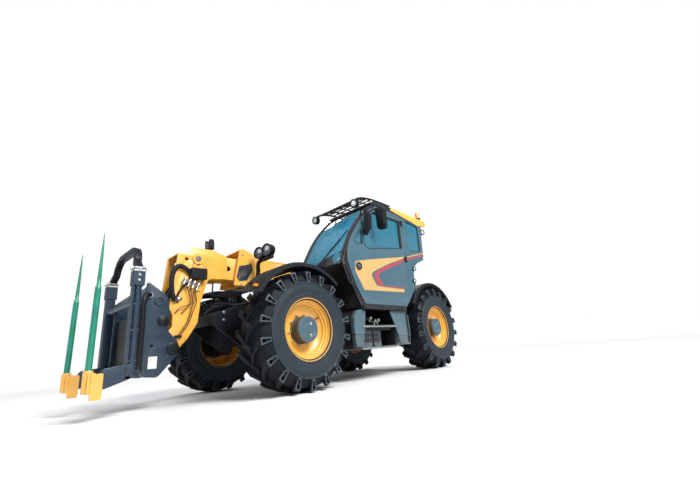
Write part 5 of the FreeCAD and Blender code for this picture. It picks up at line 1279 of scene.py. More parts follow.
def make_tines():
    """The green spikes with thin tips in their yellow holders, with lock pins, standing folded up."""
    tx, ty = TINE
    for hand, side in ((1, "left"), (-1, "right")):
        x = hand * tx
        shape = Shape(TINE_GREEN)
        profile = [(0.0, 0.024), (0.66, 0.0235), (0.69, 0.0225), (0.7, 0.0165), (0.76, 0.015),
                   (1.05, 0.0085), (1.17, 0.0035), (1.176, 0.0012)]
        shape.turned(profile, (x, ty, 0.388), UP, 24)
        shape.use(PAINT)
        shape.turned([(0, 0.03), (0.004, 0.034), (0.166, 0.036), (0.174, 0.032), (0.174, 0.02)],
                     (x, ty, 0.218), UP, 28)
        block = rounded([(ty + 0.01, 0.372), (ty + 0.01, 0.252), (HINGE[0] - 0.03, 0.234),
                         (HINGE[0] + 0.032, 0.262), (HINGE[0] + 0.03, 0.296), (HINGE[0] - 0.01, 0.318),
                         (ty + 0.045, 0.372)], 0.012, 3)
        shape.panel(block, [circle(HINGE, 0.0163, 24)], "x", x - 0.028, x + 0.028, 0.003)
        shape.box((x - 0.036, x + 0.036), (ty - 0.006, ty + 0.012), (0.262, 0.372))
        # The clamp behind the socket, wider than the hinge ears and clear of their fork
        shape.pad((x - 0.056, x + 0.056), (ty - 0.01, ty + 0.033), (0.212, 0.37), 0.012, "x")
        shape.pad((x + 0.0515, x + 0.0625), (ty + 0.011, ty + 0.093), (0.165, 0.364), 0.016, "x")
        # The lock pin with its ring
        shape.use(CHROME)
        shape.round_bar((x + 0.028, ty + 0.052, 0.338), (x + 0.05, ty + 0.052, 0.338), 0.011, 16)
        ring = ring_points((x + 0.046, ty + 0.052, 0.318), (1, 0, 0.2), 0.024, 28)
        shape.tube(ring, 0.0028, 8, closed=True)
        shape.use(STEEL_BOLT)
        shape.bolt((x + 0.028, ty + 0.02, 0.3), ACROSS, 0.008)
        shape.bolt((x - 0.028, ty + 0.02, 0.3), (-1, 0, 0), 0.008)
        shape.piece(side + "_spike", side + "_tine", [side + "_tine"])


def make_cylinders():
    """The lift and tilt cylinders: black barrels with glands and ports, and bright rods."""
    for name, base, eye, barrel, rod, pin, grip, sink in (
            ("lift", (1.7, 0.8), (0.4, 1.11), 0.066, 0.04, 0.032, 0.19, 0.045),
            ("tilt", (-1.64, 1.5), (-2.008, 0.809), 0.058, 0.032, 0.028, 0.125, 0.058)):
        a, b = Vector((0, *base)), Vector((0, *eye))
        way = (b - a).normalized()
        length = (b - a).length
        wall = pin + 0.022
        floor = wall + 0.044
        bore = rod + 0.0006
        shape = Shape(BLACK)
        end = length - grip
        shape.ring([(floor, bore), (end, bore), (end, barrel + 0.003), (end - 0.004, barrel + 0.006),
                    (end - 0.044, barrel + 0.006), (end - 0.046, barrel), (wall - 0.008, barrel),
                    (wall - 0.008, 0.004), (floor, 0.004)], a, way, 40)
        shape.ring([(-0.04, pin + 0.0004), (0.04, pin + 0.0004), (0.04, wall - 0.003), (0.037, wall),
                    (-0.037, wall), (-0.04, wall - 0.003)], a, ACROSS)
        # The ports and the pipe between them lie on the barrel's upper side
        up = way.cross(Vector(ACROSS)).normalized()
        if up.z <= 0:
            up = -up
        for along in (wall + 0.1, end - 0.1):
            spot = a + way * along + up * (barrel - 0.004)
            shape.round_bar(spot, spot + up * 0.022, 0.018, 20)
        pipe = a + up * (barrel + 0.014)
        shape.tube([pipe + way * (wall + 0.1), pipe + way * (end - 0.1)], 0.009, 10)
        shape.piece(name + "_cylinder", name + "_barrel", [name + "_barrel"])
        stem = Shape(CHROME)
        stem.round_bar(a + way * (floor + sink), b - way * (wall - 0.012), rod, 32)
        stem.use(BLACK)
        stem.ring([(-0.04, 0.004), (-0.04, wall - 0.003), (-0.037, wall), (0.037, wall),
                   (0.04, wall - 0.003), (0.04, 0.004)], b, ACROSS)
        stem.piece(name + "_piston", name + "_rod", [name + "_rod"])


# Mudguards, steps, tank, engine cover and rear
GUARD_RADIUS = 0.72
GUARD_SPAN = (0.72, 1.11)
GUARD_STEPS = 40


def guard_section(radius, lip):
    """A mudguard's section across the wheel: a crowned sheet, rolled inside, with a deep outer lip."""
    inner, outer = GUARD_SPAN
    return [(inner, radius - 0.014), (inner + 0.006, radius + 0.002), (inner + 0.05, radius + 0.007),
            (outer - 0.06, radius + 0.008), (outer - 0.016, radius + 0.006), (outer - 0.003, radius - 0.004),
            (outer, radius - 0.018), (outer, radius - lip), (outer - 0.008, radius - lip),
            (outer - 0.008, radius - 0.018), (outer - 0.02, radius - 0.001), (inner + 0.05, radius),
            (inner + 0.01, radius - 0.004), (inner + 0.006, radius - 0.014)]


def make_mudguards():
    """The four black mudguards with arms to the frame; the front pair reach forward over the tread."""
    for end, axle_y, start, stop, tip in (("front", FRONT_AXLE_Y, 47, 148, (-1.78, 0.985)),
                                          ("rear", REAR_AXLE_Y, 28, 150, None)):
        shape = Shape(PLASTIC)
        rings = []
        for i in range(GUARD_STEPS + 1):
            turn = math.radians(start + (stop - start) * i / GUARD_STEPS)
            # Angles run from the machine's rear over the top to its front
            out = Vector((0, math.cos(turn), math.sin(turn)))
            rings.append([Vector((x, axle_y, AXLE_HEIGHT)) + out * r
                          for x, r in guard_section(GUARD_RADIUS, 0.045)])
        if tip:
            last = rings[-1]
            centre = Vector((0, last[3].y, last[3].z))
            for k in (0.33, 0.66, 1.0):
                place = centre + (Vector((0, *tip)) - centre) * k
                rings.append([Vector((p.x, 0, 0)) + place + (Vector((0, p.y, p.z)) - centre) * (1 - 0.35 * k)
                              for p in last])
        shape.skin(rings)
        top = AXLE_HEIGHT + GUARD_RADIUS
        shape.use(BLACK)
        shape.round_bar((0.3, axle_y, top - 0.022), (0.98, axle_y, top - 0.022), 0.022, 20)
        shape.box((0.29, 0.312), (axle_y - 0.04, axle_y + 0.04), (0.9, top - 0.012))
        shape.box((0.3, 0.42), (axle_y - 0.006, axle_y + 0.006), (top - 0.16, top - 0.03))
        for x in (0.78, 0.92):
            shape.box((x - 0.02, x + 0.02), (axle_y - 0.05, axle_y + 0.05), (top - 0.006, top + 0.001))
            for shift in (-0.035, 0.035):
                shape.bolt((x, axle_y + shift, top + 0.008), UP, 0.007)
        shape.mirror()
        shape.piece(end + "_guards", "chassis", [end + "_mudguards"])
    side_marks = Shape(BLACK)
    for hand in (-1, 1):
        side_marks.use(BLACK)
        side_marks.box(sided(hand, 1.01, 1.05), (-1.53, -1.43), (1.07, 1.084))
        side_marks.use(AMBER)
        side_marks.pad(sided(hand, 1.04, 1.058), (-1.51, -1.45), (1.048, 1.074), 0.008, "x")
    side_marks.piece("side_markers", "chassis")


def make_step_piece():
    """The steps: a slate box ahead, a louvred riser between two light treads, a post and end plates."""
    shape = Shape(BLACK)
    # The front box's body in black behind its slate side: painted shade for its shadowed front face
    shape.panel(rounded([(-0.088, 0.47), (-0.06, 0.402), (0.028, 0.402), (0.128, 0.85), (-0.01, 0.85),
                         (-0.088, 0.7)], 0.018), [], "x", 0.562, 1.0, 0.004)
    for y in (0.03, 0.77):
        shape.box((0.56, 1.025), (y, y + 0.02), (0.37, 0.866))
    shape.box((0.29, 0.6), (0.08, 0.76), (0.7, 0.76))
    shape.box((0.562, 0.6), (-0.04, 0.82), (0.37, 0.866))
    post = 0.236
    shape.round_bar((1.06, post, 0.4), (1.06, post, 0.65), 0.012, 16)
    shape.turned([(0, 0.034), (0.01, 0.032), (0.03, 0.014)], (1.06, post, 0.392), UP, 24)
    shape.box((0.9, 1.06), (0.055, 0.64), (0.604, 0.64))
    # The front box's slate side, folded round its front edge, over a dark foot
    shape.use(PANEL_PAINT)
    side = rounded([(-0.108, 0.56), (0.082, 0.56), (0.132, 0.856), (0.04, 0.868), (-0.03, 0.85),
                    (-0.092, 0.77), (-0.108, 0.64)], 0.022)
    shape.panel(side, [], "x", 1.0, 1.066, 0.006)
    shape.use(STEP_PAINT)
    foot = rounded([(-0.104, 0.556), (-0.086, 0.425), (-0.062, 0.402), (0.036, 0.402), (0.078, 0.556)], 0.012)
    shape.panel(foot, [], "x", 1.0, 1.062, 0.004)
    # The riser between the treads, with upright slots, in a lighter slate that is painted light
    shape.use(RISER_SLATE_PAINTED_LIGHT)
    riser = rect((0.045, 0.64), (0.4, 0.61))
    slots = [rounded(rect((y, y + 0.014), (z, z + 0.06)), 0.005, 3)
             for z in (0.455, 0.53) for y in [0.085 + 0.03 * i for i in range(17)]]
    shape.panel(riser, slots, "x", 0.872, 0.88, 0.001)
    shape.use(TREAD)
    rear = 0.745
    for z, front, out in ((0.64, 0.035, 1.085), (0.372, -0.02, 1.092)):
        outline = rounded(rect((0.6, out), (front, rear)), 0.015)
        holes = [circle((x, y), 0.015, 12) for x in (0.92, 0.97, 1.02)
                 for y in [front + 0.06 + 0.06 * i for i in range(11)]]
        shape.panel(outline, holes, "z", z + 0.016, z + 0.024, 0.001)
        shape.box((out - 0.008, out), (front, rear), (z, z + 0.026))
        for y in (front, rear - 0.008):
            shape.box((0.6, out - 0.004), (y, y + 0.008), (z, z + 0.024))
    # Hose couplings that show under the sill
    shape.use(STEEL_BOLT)
    for x, y, z in ((0.95, 0.33, 0.77), (0.94, 0.44, 0.735), (0.94, 0.51, 0.745)):
        shape.round_bar((x - 0.05, y, z), (x + 0.02, y, z), 0.019, 20)
        shape.round_bar((x + 0.02, y, z), (x + 0.034, y, z), 0.024, 6)
        shape.round_bar((x, y, z - 0.05), (x, y, z), 0.012, 16)
    shape.use(HOSE)
    for y in (0.33, 0.44, 0.51):
        shape.bent([(0.9, y, 0.76), (0.82, y + 0.02, 0.75), (0.72, y + 0.03, 0.8), (0.62, y + 0.02, 0.84)],
                   5, 0.013, 10)
    shape.piece("step_box_and_treads", "chassis", ["step_unit"])


def make_tank():
    """The slate tank ahead of the rear wheel, slanted to the steps, with a dark foot, a strap and a cap."""
    shape = Shape(PANEL_PAINT)
    front, rear = 0.826, 1.112
    upper = rounded([(front, 0.53), (rear, 0.5), (rear, 0.78), (rear - 0.05, 0.862), (front, 0.862)],
                    [0.005, 0.02, 0.05, 0.05, 0.005])
    shape.panel(upper, [], "x", 0.6, 1.05, 0.006)
    skin = rounded([(0.655, 0.864), (0.735, 0.7), (0.812, 0.532), (rear, 0.502), (rear, 0.78),
                    (rear - 0.05, 0.866)], [0.02, 0.05, 0.01, 0.02, 0.05, 0.05])
    shape.panel(skin, [], "x", 1.046, 1.068, 0.005)
    shape.use(STEP_PAINT)
    lower = rounded([(0.814, 0.53), (0.85, 0.43), (0.9, 0.404), (rear - 0.02, 0.392), (rear, 0.5)], 0.02)
    shape.panel(lower, [], "x", 0.604, 1.062, 0.005)
    shape.use(BLACK)
    shape.box((0.29, 0.6), (front + 0.04, front + 0.18), (0.7, 0.78))
    strap = rect((-0.014, 0.014), (-0.003, 0.003))
    shape.bent([(0.61, rear - 0.05, 0.866), (1.02, rear - 0.06, 0.87), (1.07, rear - 0.06, 0.858),
                (1.073, rear - 0.06, 0.8), (1.073, rear - 0.06, 0.55), (1.068, rear - 0.06, 0.42)], 4, 0.004,
               8, section=strap)
    shape.turned([(0, 0.036), (0.02, 0.036), (0.03, 0.031), (0.048, 0.029), (0.054, 0.022)],
                 (0.985, rear - 0.02, 0.825), (0.55, 0.5, 0.35), 30)
    shape.piece("tank", "chassis", ["fuel_tank"])


def make_engine_cover():
    """The slate engine cover with its grille, latches and hinge eyes, and the exhaust's shield."""
    out, inner = -1.06, -0.345
    front, rear = -0.12, 1.08
    shape = Shape(PANEL_PAINT)
    outer = rounded([(inner, 0.88), (inner, 1.42), (-0.97, 1.42), (out, 1.1), (out, 0.88)],
                    [0.005, 0.03, 0.09, 0.06, 0.005], 6)
    shell = rounded([(inner, 1.42), (-0.97, 1.42), (out, 1.1), (out, 0.88), (out + 0.02, 0.88),
                     (out + 0.02, 1.1), (-0.958, 1.4), (inner, 1.4)],
                    [0.003, 0.09, 0.06, 0.004, 0.004, 0.05, 0.08, 0.003], 6)
    shape.skin([[lifted(p, "y", y) for p in shell] for y in (front - 0.02, rear + 0.02)])
    shape.panel(outer, [], "y", front - 0.026, front - 0.006, 0.004)
    shape.panel(outer, [], "y", rear + 0.006, rear + 0.026, 0.004)
    for y in (0.2, 0.76):
        shape.tube([(x, y, z + 0.001) for x, z in ((inner - 0.03, 1.42), (-0.965, 1.42), (-0.995, 1.33))],
                   0.006, 8)
    shape.use(PLASTIC)
    for i in range(9):
        z = 0.905 + 0.021 * i
        shape.plate([(out - 0.004, z), (out + 0.004, z), (out + 0.002, z + 0.013), (out - 0.006, z + 0.008)],
                    "y", 0.2, 0.76)
    shape.panel(rect((0.185, 0.775), (0.893, 1.1)),
                [rounded(rect((0.2, 0.76), (0.903, 1.09)), 0.01)], "x", out - 0.007, out + 0.002, 0.001)
    shape.use(BLACK)
    for y in (0.0, 0.92):
        shape.pad((out - 0.012, out + 0.002), (y, y + 0.045), (0.93, 0.985), 0.01, "x")
        shape.pad((out - 0.022, out - 0.01), (y + 0.012, y + 0.033), (0.938, 0.965), 0.006, "x")
    for y in (0.1, 0.78):
        shape.round_bar((-0.328, y + 0.0225, 1.425), (-0.328, y + 0.0775, 1.425), 0.014, 18)
        shape.box((-0.362, -0.33), (y + 0.0225, y + 0.0775), (1.414, 1.424))
        shape.bolt((-0.38, y + 0.05, 1.42), UP, 0.007)
    shape.piece("engine_cover", "bonnet", ["bonnet"])
    stack = Shape(CAST)
    x, y = -0.3, 1.0
    stack.turned([(0, 0.055), (0.24, 0.055), (0.27, 0.04)], (x, y, 1.2), UP, 32)
    stack.use(STEEL_BOLT)
    for i in range(9):
        for j in range(3):
            turn = 2 * math.pi * (i + 0.5 * (j % 2)) / 9
            spot = Vector((x + 0.0555 * math.cos(turn), y + 0.0555 * math.sin(turn), 1.25 + 0.06 * j))
            stack.turned([(0, 0.01), (0.0015, 0.009)], spot, (math.cos(turn), math.sin(turn), 0), 10)
    stack.use(CAST)
    pipe = smooth_line([(x, y, 1.45), (x, y, 1.62), (x, y + 0.004, 1.7), (x, y + 0.035, 1.752)], 5)
    stack.tube(pipe, 0.0385, 24)
    stack.piece("exhaust_shield", "chassis")


def make_cab_inside():
    """What shows through the glass: the seat's base and armrests, dashboard, wheel and side console."""
    frame_part = Shape(PLASTIC)
    frame_part.pad((0.54, 0.8), (0.7, 0.96), (0.912, 1.3), 0.03, "z")
    bellows = rounded(rect((0.535, 0.805), (0.695, 0.965)), 0.03, 3)
    for i in range(6):
        frame_part.tube([(a, b, 0.98 + 0.05 * i) for a, b in bellows], 0.008, 6, closed=True)
    for hand in (-1, 1):
        frame_part.pad(sorted((0.67 + hand * 0.215, 0.67 + hand * 0.265)), (0.8, 1.1), (1.5, 1.54), 0.015,
                       "x")
        frame_part.tube([(0.67 + hand * 0.24, 1.08, 1.52), (0.67 + hand * 0.2, 1.12, 1.45)], 0.012, 8)
    frame_part.piece("seat_base", "chassis", smooth=40)
    dash = Shape(PLASTIC)
    side = rounded([(0.1, 0.95), (0.13, 0.912), (0.19, 0.912), (0.19, 1.25), (0.18, 1.48), (0.02, 1.5),
                    (-0.06, 1.48), (-0.1, 1.42)], [0.01, 0.01, 0.01, 0.05, 0.05, 0.05, 0.04, 0.03])
    dash.panel(side, [], "x", 0.4, 0.9, 0.008)
    hub = Vector((0.65, 0.43, 1.56))
    lean = Vector((0, 200, 180)).normalized()
    dash.round_bar((hub.x, 0.16, 1.317), tuple(hub - lean * 0.02), 0.034, 20)
    dash.turned([(-0.03, 0.045), (0.01, 0.05), (0.018, 0.04)], hub, lean, 28)
    ring = ring_points(hub, lean, 0.18, 40)
    dash.tube(ring, 0.015, 12, closed=True)
    for i in (3, 20, 30):
        dash.tube([hub, hub + (ring[i] - hub) * 0.5 - lean * 0.008, ring[i]], 0.01, 8)
    dash.use(LENS)
    dash.pad((0.545, 0.755), (0.182, 0.186), (1.335, 1.44), 0.01, "y")
    dash.piece("dash_and_wheel", "chassis", ["steering_column"])
    lever = Shape(BLACK)
    lever.pad((0.3, 0.4), (0.62, 1.05), (1.38, 1.44), 0.03, "x")
    lever.bent([(0.36, 0.7, 1.44), (0.362, 0.69, 1.52), (0.372, 0.675, 1.6)], 4, 0.01, 10)
    lever.turned([(0, 0.018), (0.03, 0.024), (0.08, 0.022), (0.1, 0.012)], (0.371, 0.678, 1.585),
                 (0.08, -0.1, 1), 20)
    lever.box((0.29, 0.42), (0.66, 1.02), (0.912, 1.385))
    lever.piece("side_console", "chassis")


def soft_pad(name, spans, lean=0.0):
    """A seat cushion before it is blown up: a rounded block with an even mesh."""
    shape = Shape(SEAT_CLOTH)
    (x0, x1), (y0, y1), (z0, z1) = spans
    outline = rounded(rect((x0, x1), (y0, y1)), 0.05, 6)
    middle = ((x0 + x1) / 2, (y0 + y1) / 2)
    rings = []
    for z, k in ((z0, 0.94), (z0 + 0.01, 0.985), ((z0 + z1) / 2, 1.0), (z1 - 0.012, 0.985), (z1, 0.93)):
        rings.append([Vector((a, b + (z - z0) * lean, z)) for a, b in scaled(outline, middle, k)])
    shape.skin(rings)
    pad = shape.piece(name, "chassis", smooth=60)
    remesh = pad.modifiers.new("even", "REMESH")
    remesh.mode = "VOXEL"
    remesh.voxel_size = 0.012
    return pad


def blow_up(pads, cap):
    """Runs the cloth pressure once for all the cushions, and keeps each point near where it began."""
    scene = bpy.context.scene
    for pad in pads:
        graph = bpy.context.evaluated_depsgraph_get()
        even = bpy.data.meshes.new_from_object(pad.evaluated_get(graph))
        pad.modifiers.clear()
        pad.data = even
        cloth = pad.modifiers.new("air", "CLOTH")
        cloth.settings.use_pressure = True
        cloth.settings.uniform_pressure_force = 4.0
        cloth.settings.effector_weights.gravity = 0.0
        cloth.settings.quality = 4
    for step in range(1, 21):
        scene.frame_set(step)
    graph = bpy.context.evaluated_depsgraph_get()
    for pad in pads:
        blown = bpy.data.meshes.new_from_object(pad.evaluated_get(graph))
        for before, after in zip(pad.data.vertices, blown.vertices):
            move = after.co - before.co
            if move.length > cap:
                after.co = before.co + move.normalized() * cap
        pad.modifiers.clear()
        pad.data = blown
        blown.shade_smooth()
    scene.frame_set(1)


def make_cushions():
    """The seat's cushion and backrest, each with a sewn centre panel."""
    seat = soft_pad("seat_cushion", ((0.475, 0.865), (0.655, 1.115), (1.305, 1.385)))
    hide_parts("seat")
    back = soft_pad("seat_backrest", ((0.495, 0.845), (1.085, 1.15), (1.4, 1.985)), lean=0.155)
    blow_up([seat, back], 0.014)
    for pad in (seat, back):
        pad.data.materials.clear()
        pad.data.materials.append(SEAT_CLOTH)
    seams = Shape(RUBBER_SEAL)
    for x in (0.565, 0.775):
        seams.tube([(x, 0.675, 1.392), (x, 0.88, 1.4), (x, 1.09, 1.392)], 0.004, 6)
        seams.tube([(x, 1.085 + 0.155 * (z - 1.4) - 0.012, z) for z in (1.43, 1.6, 1.78, 1.96)], 0.004, 6)
    seams.piece("seat_piping", "chassis")


def make_rear_end():
    """The rear lamps and reflectors, and the bolts and sockets of the weight and the hitch."""
    shape = Shape(BLACK)
    for hand in (-1, 1):
        x = hand * 0.8
        shape.box(sided(hand, 0.43, 0.9), (2.515, 2.535), (0.95, 1.0))
        shape.pad(sorted((x - 0.11, x + 0.11)), (2.53, 2.575), (0.9, 0.99), 0.012, "y")
        for i, lens in enumerate((RED_LENS, AMBER, LENS)):
            shape.use(lens)
            middle = x + hand * (0.068 - 0.068 * i)
            shape.pad((middle - 0.028, middle + 0.028), (2.574, 2.582), (0.915, 0.975), 0.008, "y")
        shape.use(BLACK)
    shape.use(RED_LENS)
    for hand in (-1, 1):
        shape.turned([(0, 0.03), (0.006, 0.03), (0.008, 0.026)], (hand * 0.35, 2.58, 0.72), ALONG, 28)
    shape.use(STEEL_BOLT)
    for x in (-0.3, 0.3):
        for z in (0.6, 0.9):
            shape.bolt((x, 2.58, z), ALONG, 0.02)
    for x in (-0.07, 0.07):
        for z in (0.54, 0.585, 0.745, 0.785):
            shape.bolt((x, 2.6, z), ALONG, 0.011)
    # The sockets for a trailer's hoses
    shape.use(RED_LENS)
    for i in range(2):
        shape.round_bar((0.16 + 0.06 * i, 2.578, 0.8), (0.16 + 0.06 * i, 2.615, 0.8), 0.018, 20)
    shape.piece("rear_lamps_and_bolts", "chassis")


def make_under_frame():
    """Pipes, shafts and bolts about the frame and axles, seen between the wheels and from below."""
    shape = Shape(CAST)
    for y, nose in ((FRONT_AXLE_Y, 1), (REAR_AXLE_Y, -1)):
        for x in (-0.13, 0.13):
            for i in range(10):
                turn = 2 * math.pi * i / 10
                shape.bolt((x * 0.93, y + 0.135 * math.sin(turn), AXLE_HEIGHT + 0.135 * math.cos(turn)),
                           (1 if x > 0 else -1, 0, 0), 0.008)
        shape.turned([(0, 0.06), (0.02, 0.06), (0.022, 0.045)], (0, y + nose * 0.225, AXLE_HEIGHT),
                     (0, nose, 0), 28)
    shape.use(BLACK)
    shape.round_bar((0, -0.65, AXLE_HEIGHT), (0, 1.65, AXLE_HEIGHT), 0.036, 24)
    for y in (-0.6, 0.48, 1.6):
        shape.turned([(-0.03, 0.055), (0.03, 0.055)], (0, y, AXLE_HEIGHT), ALONG, 16)
    for y in (FRONT_AXLE_Y, REAR_AXLE_Y):
        for hand in (-1, 1):
            # The steering cylinder's rod and the tie rod's ball joints
            shape.use(CHROME)
            shape.round_bar((hand * 0.16, y + 0.165, 0.6), (hand * 0.62, y + 0.16, 0.6), 0.016, 16)
            shape.use(BLACK)
            shape.round_bar((0, y + 0.165, 0.6), (hand * 0.26, y + 0.165, 0.6), 0.034, 20)
            shape.turned([(-0.022, 0.024), (0.022, 0.024)], (hand * 0.63, y + 0.16, 0.6), UP, 16)
            shape.box(sided(hand, 0.6, 0.66), (y + 0.1, y + 0.165), (0.585, 0.612))
    shape.use(HOSE)
    for i in range(4):
        x = -0.1 + 0.06 * i
        route = [(x, -1.44, 0.93 + 0.02 * i), (x, -1.1, 1.03), (x * 1.4, -0.7, 1.08), (x * 1.6, -0.2, 0.93),
                 (x * 1.6, 0.3, 0.8), (x, 0.9, 0.72)]
        shape.bent(route, 6, 0.014, 12)
    for hand in (-1, 1):
        for i in range(2):
            route = [(hand * 0.24, -0.6 - 0.05 * i, 0.82), (hand * 0.36, -0.66 - 0.04 * i, 0.9 + 0.03 * i),
                     (hand * 0.47, -0.74 - 0.03 * i, 0.84), (hand * 0.5, -0.8, 0.71)]
            shape.bent(route, 6, 0.011, 10)
    shape.piece("under_frame", "chassis")
    plates = Shape(BLACK)
    for hand in (-1, 1):
        plates.use(STEEL_BOLT)
        for y, z in ((-1.4, 0.9), (-1.4, 0.82), (0.1, 0.6), (0.1, 0.78), (1.3, 0.6), (1.3, 0.78),
                     (2.36, 0.72), (2.36, 0.92), (2.2, 1.3), (2.1, 1.3)):
            plates.bolt((hand * 0.29, y, z), (hand, 0, 0), 0.013)
        plates.use(BLACK)
        for y, z in ((2.15, 1.425), (1.7, 0.8)):
            plates.turned([(0, 0.06), (0.012, 0.06), (0.014, 0.052), (0.014, 0.02)], (hand * 0.302, y, z),
                          (hand, 0, 0))
            plates.use(STEEL_BOLT)
            plates.bolt((hand * 0.314, y, z), (hand, 0, 0), 0.018)
            plates.use(BLACK)
        plates.box(sided(hand, 0.2, 0.262), (-1.5, -1.3), (0.99, 1.01))
    plates.piece("frame_bolts", "chassis")


def make_door_grip():
    """The looped grab handle ahead of the door, the slim front mirror on its arm, and the corner's lamps."""
    shape = Shape(GLOSS_BLACK)
    x = CAB_LEFT + 0.022
    loop = [(x, -0.262, 1.405), (x, -0.25, 1.436), (x, -0.228, 1.44), (x, -0.208, 1.4), (x, -0.128, 1.222),
            (x, -0.132, 1.196), (x, -0.158, 1.184), (x, -0.18, 1.205)]
    shape.tube(smooth_line(loop, 5) + [Vector(loop[0])], 0.0105, 12)
    for y, z in ((-0.215, 1.436), (-0.12, 1.2)):
        shape.round_bar((CAB_LEFT - 0.03, y + 0.012, z), (x, y - 0.008, z), 0.01, 14)
    shape.piece("grab_handle", "chassis")
    small = Shape(PLASTIC)
    small.bent([(1.078, 0.205, 2.19), (1.11, 0.19, 2.24), (1.18, 0.19, 2.235), (1.2, 0.192, 2.16)], 5, 0.01,
               12)
    outline = rounded([(1.15, 2.18), (1.114, 1.905), (1.122, 1.876), (1.15, 1.868), (1.228, 1.95),
                       (1.262, 2.14), (1.245, 2.165)], 0.02)
    middle = (1.185, 2.04)
    small.skin([[lifted(p, "y", y) for p in scaled(outline, middle, k)]
                for y, k in ((0.172, 0.78), (0.182, 0.95), (0.205, 1.0), (0.222, 1.0))])
    small.use(MIRROR_GLASS)
    small.plate(scaled(outline, middle, 0.9, 0.93), "y", 0.221, 0.225)
    small.piece("front_mirror", "chassis")
    lamps = Shape(BLACK)
    for y, z in ((1.412, 1.545), (1.368, 1.345)):
        lamp_body(lamps, (CAB_LEFT + 0.022, y, z), ACROSS, 0.034, 0.02)
    lamps.use(BLACK)
    lamps.tube([(1.02, 1.9, 2.395), (1.02, 1.955, 2.33)], 0.012, 12)
    lamp_body(lamps, (1.045, 1.955, 2.29), (1.0, -0.25, -0.1), 0.045, 0.055, 2)
    lamps.piece("corner_lamps", "chassis")


def make_camera():
    """The camera at the photograph's viewing angle."""
    rise = math.cos(CAMERA_RISE)
    ahead = Vector((math.cos(CAMERA_HEADING) * rise, math.sin(CAMERA_HEADING) * rise, math.sin(CAMERA_RISE)))
    right = ahead.cross(Vector(UP)).normalized()
    up = right.cross(ahead)
    across = right * math.cos(CAMERA_LEAN) + up * math.sin(CAMERA_LEAN)
    above = up * math.cos(CAMERA_LEAN) - right * math.sin(CAMERA_LEAN)
    data = bpy.data.cameras.new("camera")
    data.lens = CAMERA_LENS
    data.sensor_width = 36.0
    data.clip_end = 200.0
    camera = bpy.data.objects.new("camera", data)
    turn = Matrix((across, above, -ahead)).transposed()
    camera.matrix_world = Matrix.Translation(CAMERA_PLACE) @ turn.to_4x4()
    bpy.context.scene.collection.objects.link(camera)
    bpy.context.scene.camera = camera


def area_lamp(name, place, target, size, power):
    """A soft square lamp that faces a point."""
    data = bpy.data.lights.new(name, "AREA")
    data.size = size
    data.energy = power
    lamp = bpy.data.objects.new(name, data)
    way = Vector(target) - Vector(place)
    lamp.matrix_world = Matrix.Translation(place) @ way.to_track_quat("-Z", "Y").to_matrix().to_4x4()
    bpy.context.scene.collection.objects.link(lamp)


def camera_sees_white(tree, colour, strength):
    """A background that lights the scene plainly, and shows white to the camera and through glass."""
    lit = add_node(tree, "ShaderNodeBackground", {"Color": (*colour, 1.0), "Strength": strength})
    white = add_node(tree, "ShaderNodeBackground", {"Color": (1.0, 1.0, 1.0, 1.0), "Strength": 1.0})
    ray = add_node(tree, "ShaderNodeLightPath")
    seen = maths(tree, "MAXIMUM", (ray, "Is Camera Ray"), (ray, "Is Transmission Ray"))
    mixed = add_node(tree, "ShaderNodeMixShader")
    feed(tree, seen, mixed.inputs[0])
    tree.links.new(lit.outputs[0], mixed.inputs[1])
    tree.links.new(white.outputs[0], mixed.inputs[2])
    return mixed


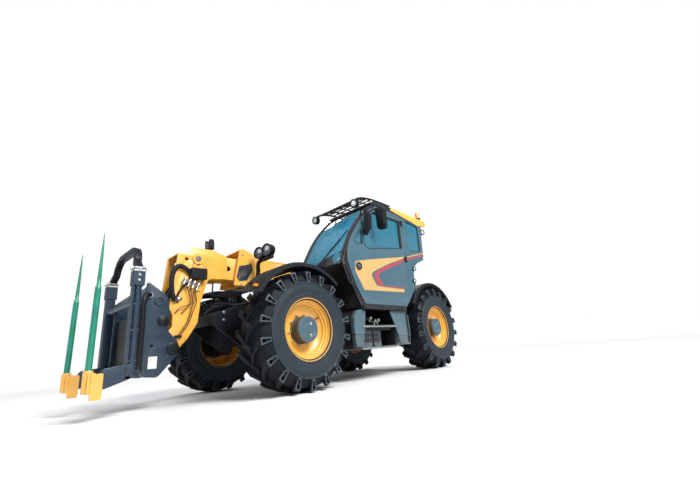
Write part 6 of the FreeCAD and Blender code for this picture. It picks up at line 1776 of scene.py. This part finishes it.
def make_studio():
    """A plain pale floor, a white surround and three soft lamps."""
    world = bpy.data.worlds.new("studio")
    bpy.context.scene.world = world
    world.use_nodes = True
    tree = world.node_tree
    tree.nodes.clear()
    out = tree.nodes.new("ShaderNodeOutputWorld")
    tree.links.new(camera_sees_white(tree, (0.86, 0.91, 1.0), 0.5).outputs[0], out.inputs[0])
    area_lamp("key_lamp", (10.0, -1.0, 9.0), (0.0, 0.0, 1.0), 5.0, 2300.0)
    area_lamp("front_lamp", (-3.5, -10.0, 6.5), (0.0, -1.0, 1.0), 5.0, 380.0)
    area_lamp("rear_lamp", (-7.0, 8.0, 8.0), (0.0, 0.0, 1.0), 6.0, 900.0)
    mesh = bpy.data.meshes.new("floor")
    reach = 60.0
    mesh.from_pydata([(-reach, -reach, 0), (reach, -reach, 0), (reach, reach, 0), (-reach, reach, 0)], [],
                     [(0, 1, 2, 3)])
    floor = bpy.data.objects.new("floor", mesh)
    material = bpy.data.materials.new("pale_floor")
    material.use_nodes = True
    tree = material.node_tree
    shader = tree.nodes["Principled BSDF"]
    shader.inputs["Base Color"].default_value = (0.8, 0.8, 0.79, 1.0)
    shader.inputs["Roughness"].default_value = 0.9
    # Far from the machine the floor fades into the white surround
    spot = add_node(tree, "ShaderNodeTexCoord")
    away = add_node(tree, "ShaderNodeVectorMath", operation="LENGTH")
    link(tree, spot, "Object", away, 0)
    far = ramp(tree, (away, "Value"), 5.0, 13.0)
    glow = add_node(tree, "ShaderNodeEmission", {"Color": (1.0, 1.0, 1.0, 1.0), "Strength": 1.0})
    mixed = add_node(tree, "ShaderNodeMixShader")
    feed(tree, far, mixed.inputs[0])
    tree.links.new(shader.outputs[0], mixed.inputs[1])
    tree.links.new(glow.outputs[0], mixed.inputs[2])
    tree.links.new(mixed.outputs[0], tree.nodes["Material Output"].inputs[0])
    mesh.materials.append(material)
    bpy.context.scene.collection.objects.link(floor)
    bpy.context.scene.view_settings.view_transform = "Standard"


for part in frame["record"]["subparts"]:
    dress(part["node"], SLOT_FINISH[part["material_slot"]])
make_wheels()
make_cab_shell()
make_hinges()
make_screen()
make_door_piece()
make_roof_piece()
make_guard()
make_lamp_pieces()
make_mirrors()
make_inner_boom_piece()
make_hydraulics()
make_outer_boom_details()
make_carriage_piece()
make_fork_piece()
make_tines()
make_cylinders()
make_mudguards()
make_step_piece()
make_tank()
make_engine_cover()
make_cab_inside()
make_cushions()
make_rear_end()
make_under_frame()
make_door_grip()
make_camera()
make_studio()
